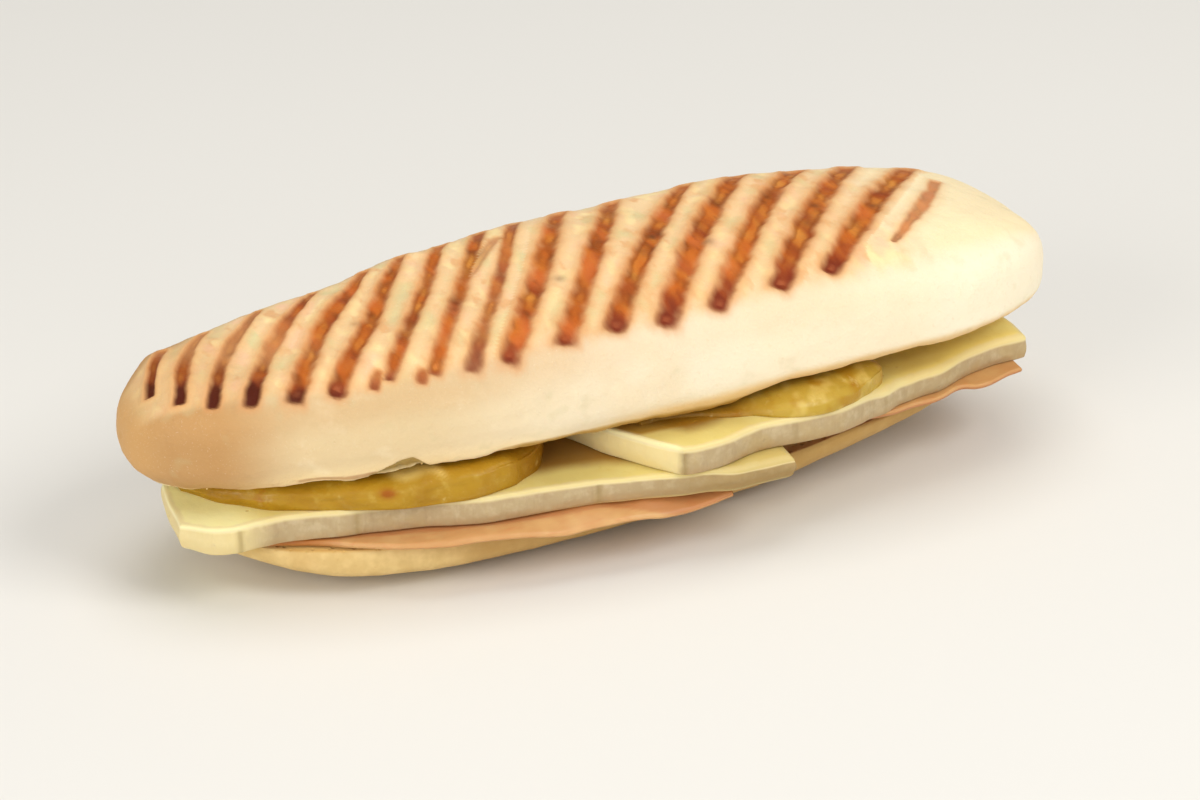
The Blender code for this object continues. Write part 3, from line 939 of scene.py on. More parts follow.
def swelling(bulge, waves=0.0, seed=0):
    """A rule for a slab's wall: it swells by a bulge half way down and waves along its length."""
    def swell(rim, share):
        along = rim[:, 0]
        wave = waves * mottle(along, 0.0 * along + 6.0 * share, 6.0, seed)
        return bulge * math.sin(math.pi * share) + wave
    return swell


def path_item(name, lines, values):
    """Lines of points as loose edges, with one value per point under each name."""
    edges = []
    start = 0
    for line in lines:
        edges += [(start + k, start + k + 1) for k in range(len(line) - 1)]
        start += len(line)
    return make_item(name, np.concatenate(lines), edges, [], values)


def mark_lines_item(name, marks):
    """The middle line of every grill mark, laid on the crown."""
    lines = []
    told = []
    for near, middle, far, burnt, strength, knots in marks:
        length = length_of(knots)
        along = np.arange(-MARK_RUNOUT, length + MARK_RUNOUT, MARK_STEP)
        x, y = curve_through(knots, along / length).T
        lines.append(np.column_stack([x, y, crown_z(x, y + SIDE_BOW * roll_part(x) ** 2)]))
        half = np.interp(along, (0.0, 0.35 * length, 0.6 * length, length),
                         (near, middle, middle, far))
        same = np.ones(len(along))
        told.append((half, along, length - along, same * burnt, same * strength))
    labels = ("half_width", "reach", "back", "burnt", "strength")
    return path_item(name, lines, dict(zip(labels, np.concatenate(told, axis=1))))


# ---------------------------------------------------------------- geometry trees

def grill_tree():
    """Presses the grill marks into a crust along their lines, then roughens the whole."""
    tree = Shaping("press_grill_marks", {
        "Mark lines": "object", "Prong lines": "object", "Mark depth": float,
        "Ridge height": float, "Crust relief": float, "Crumb relief": float,
        "Finish": "finish"})
    place = tree.add("GeometryNodeInputPosition")
    ripple = (tree.noise(place, 4.5, 1.0, 0.5, 3.0) - 0.5) * 0.75

    def nearest_mark(label):
        """Across, 1 at a mark's squarish edge, and what else the nearest of the lines tells."""
        lines = tree.add("GeometryNodeObjectInfo", {"transform_space": "ORIGINAL"},
                         {"Object": tree.given(label)}, "Geometry")
        away = tree.add("GeometryNodeProximity", {"target_element": "EDGES"},
                        {0: lines, "Sample Position": place}, "Distance")
        index = tree.add("GeometryNodeSampleNearest", {"domain": "POINT"},
                         {"Geometry": lines, "Sample Position": place})

        def told(name):
            return tree.add("GeometryNodeSampleIndex", {"data_type": "FLOAT", "domain": "POINT"},
                            {"Geometry": lines, "Value": tree.value(name), "Index": index})

        half = told("half_width")
        sideways = away / (half * MM) + ripple
        reach = told("reach")
        back = told("back")
        end = 1.0 - tree.math("MINIMUM", reach, back) / half + ripple
        end = tree.math("MAXIMUM", end, 0.0)
        fourth = tree.math("POWER", sideways, 4.0) + tree.math("POWER", end, 4.0)
        across = tree.math("POWER", fourth, 0.25)
        return across, reach, back, told("burnt"), told("strength"), half

    main = nearest_mark("Mark lines")
    short = nearest_mark("Prong lines")
    is_short = tree.math("LESS_THAN", short[0], main[0])
    across, reach, back, burnt, strength, half = (
        first + (second - first) * is_short for first, second in zip(main, short))
    shallow = tree.math("MINIMUM", half / 2.5, 1.0)
    pressed = across.ease(1.25, 0.55) * strength.ease(0.0, 0.9) * shallow
    ridge = across.hump(0.95, 1.3, 1.5, 2.4) * strength
    height = ridge * tree.given("Ridge height") - pressed * tree.given("Mark depth")
    cut = tree.value("cut")
    broad = (tree.noise(place, 30.0, 1.0, 0.5, 4.0) - 0.5) * tree.given("Crust relief") * 1.6
    lumps = (tree.noise(place, 11.0, 2.0, 0.5, 1.0) - 0.5) * tree.given("Crust relief")
    grain = (tree.noise(place, 3.0, 3.0, 0.55, 2.0) - 0.5) * tree.given("Crust relief") * 0.4
    holes = tree.cells(place, 3.2).ease(0.45, 0.1) + tree.noise(place, 1.6, 2.0, 0.6, 5.0)
    height = height + (broad + lumps + grain) * (1.0 - cut)
    height = height - holes * cut * tree.given("Crumb relief") * 0.5
    mesh = tree.push(tree.given("Mesh"), height)
    for name, wire in (("mark_across", across), ("mark_reach", reach), ("mark_back", back),
                       ("mark_burnt", burnt), ("mark_strength", strength)):
        mesh = tree.keep(mesh, name, wire)
    return tree.finish(mesh)


def relief_tree():
    """Roughens a piece where its own value called relief says: lumps, grain and wrinkles."""
    tree = Shaping("surface_relief", {
        "Lump size": float, "Lump height": float, "Grain size": float, "Grain height": float,
        "Wrinkle size": float, "Wrinkle height": float, "Seed": float, "Finish": "finish"})
    place = tree.add("GeometryNodeInputPosition")
    seed = tree.given("Seed")

    def rough(label, where, detail, shift):
        spread = tree.noise(where, tree.given(label + " size") / MM, detail, 0.5, seed + shift)
        return (spread - 0.5) * tree.given(label + " height")

    folds = rough("Wrinkle", tree.stretched(place, (1.0, 1.0, 0.16)), 2.0, 7.0)
    height = rough("Lump", place, 1.5, 0.0) + rough("Grain", place, 2.0, 3.0)
    height = (height + folds * tree.value("wall")) * tree.value("relief")
    return tree.finish(tree.push(tree.given("Mesh"), height))


def roughen(tree, item, finish, seed, lumps, grain, wrinkles=(2.0 * MM, 0.0)):
    """Runs the relief tree on an item.  Lumps, grain and wrinkles are (size, height)."""
    values = {"Seed": seed, "Finish": finish}
    for label, (size, height) in (("Lump", lumps), ("Grain", grain), ("Wrinkle", wrinkles)):
        values[label + " size"] = size
        values[label + " height"] = height
    Shaping.run(tree, item, values)


def crumb_tree():
    """Strings crumbs of uneven size along a path, each of them sunk in what it sits on."""
    tree = Shaping("string_crumbs", {
        "Crumbs": int, "Smallest": float, "Largest": float, "Spread": float, "Seed": int,
        "Finish": "finish"})
    path = tree.add("GeometryNodeMeshToCurve", {}, {"Mesh": tree.given("Mesh")})
    points = tree.add("GeometryNodeResampleCurve", {"mode": "COUNT"},
                      {"Curve": path, "Count": tree.given("Crumbs")})

    def chance(low, high, shift):
        """A number between two numbers, or a vector between two vectors."""
        kind, keys, output = ("FLOAT_VECTOR", (0, 1), 0)
        if isinstance(low, float):
            kind, keys, output = ("FLOAT", (2, 3), 1)
        return tree.add("FunctionNodeRandomValue", {"data_type": kind},
                        {keys[0]: low, keys[1]: high, "Seed": tree.given("Seed") + shift}, output)

    jitter = tree.scaled(chance((-1.0, -0.5, -0.3), (1.0, 0.5, 0.3), 1), tree.given("Spread"))
    points = tree.add("GeometryNodeSetPosition", {}, {"Geometry": points, "Offset": jitter})
    seedling = tree.add("GeometryNodeMeshIcoSphere", {}, {"Radius": 1.0, "Subdivisions": 2})
    turned = chance((0.0, 0.0, 0.0), (6.28, 6.28, 6.28), 2)
    size = chance(0.0, 1.0, 3)
    smallest = tree.given("Smallest")
    scale = smallest + size * size * size * (tree.given("Largest") - smallest)
    oblong = tree.scaled(chance((0.6, 0.7, 0.5), (1.3, 1.0, 0.9), 4), scale)
    grown = tree.add("GeometryNodeInstanceOnPoints", {},
                     {"Points": points, "Instance": seedling, "Rotation": turned, "Scale": oblong})
    real = tree.add("GeometryNodeRealizeInstances", {}, {"Geometry": grown})
    place = tree.add("GeometryNodeInputPosition")
    bumps = (tree.noise(place, 0.5, 1.0, 0.5, 8.0) - 0.5) * 0.35 * MM
    return tree.finish(tree.push(real, bumps))


# ---------------------------------------------------------------- finishes

def baked_crust(f, look, x, side, lying, patch, fine):
    """The crust's colour without its marks.

    Side is 0 on top of the crown and 1 on its flanks; low is -1 on top, 0 at the crown's edge and
    1 at the rim below.
    """
    low = f.value("low")
    cloud = f.noise(f.place, 26.0, 2.0, 0.5, 11.0)
    dust = f.noise(f.place, 0.45, 2.0, 0.6, 14.0)
    smudge = f.noise(f.place, 8.0, 2.0, 0.5, 17.0)
    mottled = f.noise(lying, 4.2, 2.0, 0.5, 18.0)
    green = f.noise(lying, 6.5, 1.0, 0.5, 19.0)
    yellow = f.noise(lying, 5.0, 1.0, 0.5, 20.0)
    browner = x.ease(-0.086, -0.109) * (0.88 + patch * 0.2) * (side * 0.5 + 0.5)
    topside = (1.0 - side) * x.ease(0.09, 0.066)
    # Painted shade: the crust is darkened where the crown rounds over into its flanks.
    shoulder = low.hump(-0.9, -0.76, -0.66, -0.22)
    shoulder = shoulder * (1.0 - x.ease(-0.02, 0.01) * 0.3 - x.ease(0.045, 0.075) * 0.5)
    # foot is the lower part of the wall: on the left it is brightened as painted light, on the
    # right made warmer and a little darker.
    foot = low.ease(0.1, 0.75)
    # Painted shade: a tan band along the foot of the wall and the cut face at the left end.
    left_rim_shade = (low + (patch - 0.5) * 0.16).hump(0.84, 0.98, 1.5, 2.0) * x.ease(-0.08, -0.1)
    # rim: painted shade, a tan band low on the wall on the right half, where the rim turns under.
    rim = (low + x.ease(0.0, 0.05) * 0.22 + (patch - 0.5) * 0.1).ease(0.3, 0.62)
    # Painted shade: a darker brown strip low on the wall at the left end, along a dent.
    crease = (low + (patch - 0.5) * 0.12).hump(0.66, 0.77, 0.83, 0.92) * patch.ease(0.4, 0.56)
    return f.coats(
        srgb(221, 197, 154),
        (tuple(look.pale), x.ease(-0.066, 0.0)),
        (srgb(228, 198, 150), cloud.ease(0.42, 0.7) * 0.35),
        # Paler towards the right end: partly a paler crust, partly painted light.
        (srgb(243, 227, 196), x.hump(0.015, 0.04, 0.072, 0.086) * 0.85),
        (srgb(248, 237, 210), x.ease(0.07, 0.09) * 0.8),
        (srgb(246, 230, 196), patch.ease(0.52, 0.76) * 0.35),
        (srgb(238, 216, 166), (1.0 - side) * x.ease(0.07, 0.09) * 0.7),
        (srgb(236, 201, 150), topside * 0.85),
        (srgb(222, 164, 110), mottled.ease(0.52, 0.66) * topside * 0.7),
        (srgb(248, 226, 166), yellow.ease(0.5, 0.64) * topside * 0.75),
        (srgb(212, 202, 150), green.ease(0.52, 0.68) * topside * 0.8),
        (srgb(242, 194, 160), green.ease(0.46, 0.32) * topside * 0.6),
        ((0.85, 0.77, 0.7), shoulder, "MULTIPLY"),
        ((1.36, 1.4, 1.4), foot * x.ease(-0.015, -0.04), "MULTIPLY"),
        ((1.0, 0.93, 0.75), foot * x.ease(0.0, 0.03), "MULTIPLY"),
        ((1.0, 0.92, 0.82), foot * x.ease(0.06, 0.075), "MULTIPLY"),
        (tuple(look.golden), browner),
        (srgb(208, 162, 104), x.ease(-0.118, -0.126) * 0.8),
        (srgb(214, 174, 118), fine.ease(0.56, 0.8) * 0.2),
        (srgb(196, 186, 142), smudge.ease(0.6, 0.72) * 0.2),
        (srgb(206, 160, 108), left_rim_shade * 0.4),
        (srgb(234, 188, 112), rim * x.ease(-0.02, 0.01) * 0.6),
        (srgb(186, 132, 84), crease * x.hump(-0.112, -0.1, -0.07, -0.058) * 0.65),
        (srgb(255, 250, 236), dust.ease(0.6, 0.75) * cloud.ease(0.4, 0.6) * 0.2))


def toasted_mark(f, look, x, lying, spots, drawn):
    """The colour inside a grill mark, and how much of it and of its fringe covers the crust.

    Across is 1 at the edge of a mark, reach is the way up from its near end and back the way to
    its far end, both in millimetres.
    """
    across = f.value("mark_across")
    reach = f.value("mark_reach")
    ragged = (f.noise(lying, 4.0, 2.0, 0.5, 21.0) - 0.5) * 0.8
    streak = f.noise(drawn, 4.4, 0.0, 0.5, 24.0)
    blotch = f.noise(drawn, 5.6, 1.5, 0.5, 26.0)
    speck = f.noise(drawn, 1.6, 2.0, 0.6, 25.0)
    seared = (across + ragged * 0.6).hump(0.3, 0.62, 0.8, 1.15) * streak.ease(0.6, 0.4)
    burn = reach / f.value("mark_burnt") + (spots - 0.5) * 1.4
    pale_spot = (reach + ragged * 3.0).hump(1.6, 2.4, 3.0, 4.6) * (across + ragged).ease(0.75, 0.1)
    toast = f.coats(
        tuple(look.toasted),
        (srgb(204, 128, 56), spots.ease(0.38, 0.78) * 0.95),
        (srgb(192, 98, 34), blotch.ease(0.4, 0.74) * 0.8),
        (srgb(140, 56, 26), blotch.ease(0.54, 0.26) * 0.9),
        (srgb(108, 58, 18), spots.ease(0.5, 0.2) * 0.85),
        (srgb(210, 112, 66), streak.ease(0.48, 0.92) * 0.7),
        (srgb(104, 52, 18), x.ease(-0.08, -0.1) * 0.5),
        (srgb(214, 146, 72), streak.ease(0.52, 0.14) * 0.85),
        (srgb(110, 50, 20), speck.ease(0.54, 0.76) * 0.3),
        (srgb(122, 54, 20), seared * 0.5),
        (srgb(140, 56, 30), burn.ease(1.5, 0.7) * 0.7),
        (tuple(look.burnt), burn.ease(0.9, 0.2) * 0.85),
        (srgb(66, 18, 0), burn.ease(1.3, 0.5) * x.ease(-0.07, -0.09) * 0.8),
        (srgb(206, 120, 86), pale_spot * x.ease(-0.094, -0.08) * 0.4),
        (srgb(176, 108, 72), f.value("mark_back").ease(10.0, 2.0) * 0.6),
        ((1.0, 0.95, 0.68), 1.0, "MULTIPLY"))
    core = (across + ragged).ease(1.45, 0.5)
    fringe = (across + ragged).ease(2.1, 0.85)
    faded = 1.0 - x.ease(-0.07, -0.09) * reach.ease(14.0, 26.0) * 0.45
    return toast, core, fringe, faded, speck


def crust_finish(look):
    """Baked crust with grill marks on top and open crumb on the cut face."""
    f = Finish("crust", {"Subsurface Weight": 0.05, "Subsurface Scale": 0.003,
                         "Subsurface Radius": (1.0, 0.6, 0.3), "Specular IOR Level": 0.12})
    place = f.place
    x = f.axis("X")
    cut = f.value("cut")
    side = f.value("side")
    strength = f.value("mark_strength")
    patch = f.noise(place, 7.0, 3.0, 0.55, 12.0)
    fine = f.noise(place, 1.3, 3.0, 0.6, 13.0)
    lying = f.stretched(place, (1.0, 0.5, 0.6))
    drawn = f.stretched(place, (1.0, 0.34, 0.42))
    spots = f.noise(drawn, 3.6, 1.0, 0.5, 23.0)
    warmth = f.value("mark_across").ease(3.6, 1.2) * side.ease(0.98, 0.5) * strength
    toast, core, fringe, faded, speck = toasted_mark(f, look, x, lying, spots, drawn)
    holes = f.cells(place, 2.4).ease(0.42, 0.12)
    crumb = f.coats(
        tuple(look.crumb),
        (srgb(255, 246, 214), f.noise(place, 2.0, 2.0, 0.5, 31.0) * 0.6),
        # Painted shade in the crumb's holes.
        (srgb(206, 168, 96), holes * 0.7))
    turned = f.value("turned") * (patch * 0.5 + 0.75)
    colour = f.coats(
        baked_crust(f, look, x, side, lying, patch, fine),
        (srgb(226, 176, 118), warmth * (patch * 0.6 + 0.3)),
        (srgb(208, 146, 92), fringe * strength * 0.75),
        (toast, core * strength.ease(0.0, 0.95) * faded),
        (srgb(70, 44, 26), f.value("scorch") * (spots * 0.6 + 0.4)),
        (crumb, cut),
        # The torn place shows crumb, darkened to olive as painted shade in its recess.
        (srgb(176, 148, 84), f.value("torn") * 0.95),
        # Painted shade where the near rim turns under: tan, then olive-brown.
        (srgb(214, 178, 112), turned.ease(0.05, 0.5) * 0.8),
        (srgb(182, 140, 62), turned.ease(0.45, 1.0) * 0.8))

    roughness = 0.58 + (fine - 0.5) * 0.2 + cut * 0.3 - core * 0.06
    pore_patch = f.noise(place, 8.0, 1.0, 0.5, 33.0).ease(0.48, 0.6)
    pores = f.cells(place, 3.1).ease(0.15, 0.05) * pore_patch
    skin = f.noise(place, 0.8, 3.0, 0.65, 35.0) * 0.5 + fine * 0.6 - pores * 0.4
    skin = skin + speck * core * 0.5
    normal = f.bumps((skin, 0.16), (f.cells(place, 0.8), 0.05), (0.0 - holes * cut, 0.5))
    return f.feed(colour=colour, roughness=roughness, normal=normal)


def base_finish(look):
    """The bottom half: a paler crust below and open crumb on the cut face."""
    f = Finish("base_crust", {"Subsurface Weight": 0.05, "Subsurface Scale": 0.003,
                              "Subsurface Radius": (1.0, 0.6, 0.3), "Specular IOR Level": 0.22})
    place = f.place
    x = f.axis("X")
    cut = f.value("cut")
    cloud = f.noise(place, 20.0, 2.0, 0.5, 41.0)
    patch = f.noise(place, 5.0, 3.0, 0.55, 42.0)
    fine = f.noise(place, 1.2, 3.0, 0.6, 43.0)
    holes = f.cells(place, 2.1).ease(0.36, 0.1)
    toasted = f.coats(srgb(222, 164, 92), (srgb(178, 104, 48), patch.ease(0.4, 0.7)))
    # Painted shadow: a reddish-brown band along the near edge of the cut face, under the right
    # slices.
    shadow_under_slices = x.hump(0.03, 0.038, 0.068, 0.078) * patch.ease(0.2, 0.5)
    crumb = f.coats(
        tuple(look.crumb),
        (srgb(255, 246, 214), patch * 0.6),
        # Painted shade in the crumb's holes.
        (srgb(222, 186, 112), holes * 0.5),
        (srgb(150, 78, 24), shadow_under_slices * f.axis("Y").ease(-0.018, -0.026) * 0.85),
        # Painted shade: the cut face is darker golden under the left slices.
        (srgb(204, 158, 80), x.hump(-0.104, -0.09, -0.03, 0.0) * 0.85))
    colour = f.coats(
        srgb(212, 180, 118),
        (srgb(228, 198, 136), patch.ease(0.35, 0.7)),
        (srgb(198, 156, 92), cloud.ease(0.5, 0.75) * 0.6),
        (srgb(184, 140, 72), x.ease(-0.06, -0.04) * 0.65),
        (srgb(196, 154, 92), fine.ease(0.58, 0.8) * 0.35),
        (toasted, f.value("lying") * 0.8),
        (crumb, cut))
    roughness = 0.6 + (fine - 0.5) * 0.2 + cut * 0.25
    normal = f.bumps((f.noise(place, 0.9, 3.0, 0.6, 45.0) * 0.6 + fine * 0.6, 0.16),
                     (0.0 - holes * cut, 0.3))
    return f.feed(colour=colour, roughness=roughness, normal=normal)


def cheese_finish(look):
    """Soft yellow paste inside a pale wrinkled rind."""
    f = Finish("cheese", {"Subsurface Weight": 0.15, "Subsurface Scale": 0.003,
                          "Subsurface Radius": (1.0, 0.75, 0.3), "IOR": 1.4,
                          "Specular IOR Level": 0.35})
    place = f.place
    x = f.axis("X")
    inside = f.value("inside")
    wall = f.value("wall")
    down = f.value("down")
    whiter = f.value("whiter")
    drier = f.value("drier")
    cloud = f.noise(place, 12.0, 2.0, 0.5, 51.0)
    fine = f.noise(place, 1.6, 3.0, 0.6, 52.0)
    # Painted shade: the paste turns dark brown deep under the top bread.
    shade_under_roll = (inside + cloud * 4.0).ease(7.5, 14.0) * x.hump(-0.08, -0.06, 0.058, 0.078)
    eyes = f.cells(place, 4.2).ease(0.13, 0.06) * cloud.ease(0.42, 0.55)
    paste = f.coats(
        tuple(look.paste),
        (srgb(232, 222, 150), cloud.ease(0.4, 0.7) * 0.5),
        (srgb(216, 190, 100), fine.ease(0.55, 0.75) * 0.3),
        # Painted light: paste and rind are made paler at the left ends of both slices.
        (srgb(255, 250, 186), whiter * 1.2),
        # Darker and browner towards the right end of the lower slice, and in a patch on the right
        # of the upper one.
        (srgb(184, 156, 88), drier.ease(0.4, 1.0) * 0.65),
        (srgb(150, 96, 12), shade_under_roll * 0.85),
        # Painted light: the paste is made brighter at the right end, where the top bread shades it.
        ((1.1, 1.07, 0.95), x.ease(0.06, 0.078), "MULTIPLY"),
        # Painted shade in the cheese's eyes.
        (srgb(206, 172, 80), eyes * 0.5))
    upright = f.stretched(place, (1.0, 1.0, 0.2))
    stripes = f.noise(upright, 1.5, 2.0, 0.6, 54.0)
    bloom = f.noise(place, 2.6, 3.0, 0.6, 55.0)
    blush = f.noise(place, 9.0, 2.0, 0.5, 56.0)
    rind = f.coats(
        tuple(look.rind),
        (srgb(206, 188, 152), bloom.ease(0.42, 0.7) * 0.55),
        (srgb(158, 134, 96), stripes.ease(0.5, 0.78) * 0.3),
        (srgb(188, 162, 112), blush.ease(0.5, 0.68) * 0.5),
        # Painted shade: the rind darkens towards the bottom of the wall.
        (srgb(172, 134, 86), down.ease(0.6, 1.0) * bloom.ease(0.3, 0.6) * 0.5),
        (srgb(240, 221, 160), whiter * 0.85),
        (srgb(152, 122, 66), drier * 0.65),
        # Painted shade in the pinched creases of the near wall.
        (srgb(150, 126, 70), f.value("crease") * 0.55))
    edge = (inside + (f.noise(place, 3.5, 2.0, 0.5, 53.0) - 0.5) * 1.6) / (look.rind_width / MM)
    skin_share = edge.ease(1.35, 0.55) * (1.0 - drier * 0.6) * 0.8
    colour = f.coats(
        paste,
        (f.coats(paste, (srgb(228, 210, 166), 0.65)), skin_share),
        (srgb(226, 208, 166), wall * down.ease(0.16, 0.02)),
        (rind, wall * down.ease(0.03, 0.18)),
        # Painted shade under the top bread's near rim.
        (srgb(176, 124, 24), f.value("deep") * (1.0 - wall * 0.85) * 0.8))
    roughness = 0.46 + (fine - 0.5) * 0.2 + wall * 0.3
    normal = f.bumps((stripes * wall * 0.8 + bloom * wall * 0.5, 0.2), (fine * 0.6 - eyes, 0.12))
    return f.feed(colour=colour, roughness=roughness, normal=normal)


def egg_finish(look):
    """Cooked egg: deep yellow, moist, with browned patches."""
    f = Finish("egg", {"Subsurface Weight": 0.12, "Subsurface Scale": 0.003,
                       "Subsurface Radius": (1.0, 0.6, 0.15), "Coat Roughness": 0.22,
                       "IOR": 1.4, "Specular IOR Level": 0.35})
    place = f.place
    cloud = f.noise(place, 8.0, 2.0, 0.5, 61.0)
    curd = f.noise(place, 3.0, 3.0, 0.6, 62.0)
    fine = f.noise(place, 1.0, 3.0, 0.6, 63.0)
    soft = f.noise(place, 4.5, 1.5, 0.5, 66.0)
    browned = f.noise(place, 4.5, 3.0, 0.6, 64.0).ease(0.62, 0.74)
    pale = f.noise(place, 5.0, 3.0, 0.6, 65.0).ease(0.62, 0.72)
    # Painted light: the right slab takes this lighter egg, and the left slab's darker egg is partly
    # painted shade.
    fresh = f.coats(
        srgb(190, 158, 60),
        (srgb(214, 186, 98), soft.ease(0.48, 0.66) * 0.8),
        (srgb(176, 130, 22), cloud.ease(0.5, 0.34) * 0.8))
    colour = f.coats(
        tuple(look.egg),
        (srgb(194, 160, 62), curd.ease(0.5, 0.72) * 0.6),
        (srgb(160, 114, 10), cloud.ease(0.55, 0.35) * 0.6),
        (fresh, f.value("fresh") * 0.9),
        # Painted shade: the egg darkens where it lies under the top bread.
        (srgb(140, 88, 4), f.value("tucked") * 0.7),
        (tuple(look.egg_brown), f.value("brown")),
        (tuple(look.egg_brown), browned * 0.4),
        (srgb(228, 206, 136), pale * (f.axis("X").ease(-0.085, -0.065) * 0.3 + 0.12)),
        # A pale strand along the egg's fold: partly its pale fold, partly a painted highlight.
        (srgb(226, 198, 116), f.value("strand") * 0.85))
    return f.feed(colour=colour, roughness=0.42 + (fine - 0.5) * 0.25,
                  coat=curd.ease(0.4, 0.68) * 0.25, normal=f.bumps((curd * 0.7 + fine * 0.3, 0.45)))


def ham_finish(look):
    """A thin moist slice, redder where it goes under the cheese: partly its red edge, partly
    painted shade.
    """
    f = Finish("ham", {"Subsurface Weight": 0.12, "Subsurface Scale": 0.002,
                       "Subsurface Radius": (1.0, 0.45, 0.3), "Coat Roughness": 0.3,
                       "Specular IOR Level": 0.35})
    cloud = f.noise(f.place, 8.0, 2.0, 0.5, 71.0)
    grain = f.noise(f.stretched(f.place, (0.35, 1.0, 1.0)), 1.8, 3.0, 0.6, 72.0)
    colour = f.coats(
        tuple(look.ham),
        (srgb(214, 172, 114), cloud.ease(0.42, 0.68) * 0.6),
        (srgb(204, 132, 80), grain.ease(0.52, 0.75) * 0.4),
        # Partly the ham's red edge, partly painted shade where it goes under the cheese.
        (tuple(look.ham_red), f.value("tucked") * (cloud * 0.9 + 0.4)),
        (srgb(168, 100, 30), f.axis("X").ease(-0.076, -0.088) * 0.8))
    return f.feed(colour=colour, roughness=0.48 + (grain - 0.5) * 0.2,
                  coat=cloud.ease(0.3, 0.6) * 0.15, normal=f.bumps((grain, 0.15)))


def crumb_finish(look):
    """Torn crumb."""
    f = Finish("torn_crumb", {"Specular IOR Level": 0.2})
    fine = f.noise(f.place, 0.7, 2.0, 0.6, 81.0)
    colour = f.coats(tuple(look.crumb), (srgb(226, 184, 116), fine.ease(0.45, 0.7)))
    return f.feed(colour=colour, roughness=fine * 0.2 + 0.7, normal=f.bumps((fine, 0.1)))


# ---------------------------------------------------------------- the fillings' shapes

# The near sides of both slices of cheese, along the roll.
LOWER_NEAR = [(-115.6, -20.3), (-110, -24.3), (-103, -26.3), (-96, -26.3), (-87, -26.7),
              (-62, -32), (-40, -37.5), (-13, -41.3), (0, -44.9), (12, -47.6), (25, -49.4),
              (37.5, -49.2)]
UPPER_NEAR = [(7.0, -47.6), (13, -48.6), (19.3, -47.4), (26.9, -44.6), (33, -43.7), (41, -44.1),
              (48, -44.2), (54, -43.0), (61, -40.2), (76, -33.2), (90, -28.2), (104, -22.2),
              (120.5, -20)]


def edge_rule(fall, reach):
    """An edge that falls by the same amount over the same reach all along."""
    return lambda x: (fall, reach)


def worn_edge(worn, fall, reach):
    """A cheese's edge, rounder by a fall and a reach where worn(x), from 0 to 1, says so."""
    return lambda x: (0.6 + fall * worn(x), 0.8 + reach * worn(x))


def ham_left_item():
    near = [(-95, -22), (-80, -29.5), (-65, -37.5), (-53, -41), (-35, -44), (-15, -46), (4, -47),
            (14, -46.8), (22, -46)]
    sides = [near, [(22, -46), (26, -30), (27, 0), (24, 32)],
             [(24, 32), (-20, 36), (-60, 34), (-90, 24)],
             [(-90, 24), (-100, 5), (-100, -10), (-95, -22)]]

    def low(x, y, inside):
        """On the bottom half, hanging over its edge, and puffed up in a fold before it."""
        hanging = ease(2.0, 12.0, base_shift(x) - base_half_width(x) - y)
        fold = ease(-34.0, 0.0, x) * hump(-47.5, -42.0, -39.0, -32.0, y)
        droop = 1.6 * hanging * (1.0 + 0.5 * np.sin(0.21 * x))
        return base_top(x) + GAP - SAG - droop + fold * (1.3 + 0.6 * np.sin(0.31 * x + 0.6))

    item = slab("ham_slice_left", sides, low, lambda x, y, d: low(x, y, d) + HAM_THICKNESS,
                (edge_rule(0.7, 0.9), edge_rule(0.5, 0.5)), (0.8, 9.0, 31), swelling(0.1))
    x, y, _ = places_of(item)
    edge = curve_through(LOWER_NEAR, np.linspace(0.0, 1.0, 400))
    tuck = y - np.interp(x, edge[:, 0], edge[:, 1]) + 0.9 * mottle(x, y * 0.0, 11.0, 33)
    below = 1.0 - 0.75 * ease(0.1, 0.5, value_of(item, "down"))
    # Redder where the ham goes under the cheese: partly its red edge, partly painted shade.
    add_values(item, {"tucked": 0.45 * ease(-1.3, -0.2, tuck) * below})
    return item


def ham_right_item():
    near = [(64, -35), (75, -34.5), (89, -30.5), (97, -27.5), (102, -28.5), (109, -27), (117, -24)]
    sides = [near, [(117, -24), (118, -8), (114, 12)],
             [(114, 12), (98, 24), (66, 28)], [(66, 28), (60, 0), (64, -35)]]

    def high(x, y, inside):
        return cheese_upper_bottom(x) - GAP

    item = slab("ham_slice_right", sides,
                lambda x, y, d: np.maximum(high(x, y, d) - HAM_THICKNESS, base_top(x) + GAP),
                high, (edge_rule(0.5, 0.6), edge_rule(0.6, 0.8)), (0.7, 8.0, 35), swelling(0.1))
    # Redder down the wall: partly the ham's red edge, partly painted shade.
    add_values(item, {"tucked": 0.45 * ease(0.0, 0.5, value_of(item, "down"))})
    return item


def cheese_item(name, sides, bottom, top, seed, creases, edges):
    """A slice of cheese, its near wall pinched at each fold given as (place, strength)."""
    def creased(x, y):
        return sum(strength * bell(middle, 0.8, x) for middle, strength in creases) * (y < -15.0)

    def swell(rim, share):
        x, y = rim.T
        waist = 0.35 * mottle(x + 0.6 * y, 0.0 * x + 7.0 * share, 5.0, seed + 3)
        return (0.35 + waist - 0.55 * creased(x, y)) * math.sin(math.pi * share)

    item = slab(name, sides, lambda x, y, d: bottom(x) - SAG, lambda x, y, d: top(x) + 0.0 * y,
                edges, (0.55, 7.0, seed), swell, CHEESE_STEP)
    x, y, _ = places_of(item)
    add_values(item, {"crease": creased(x, y) * (value_of(item, "inside") < 1.0)})
    return item


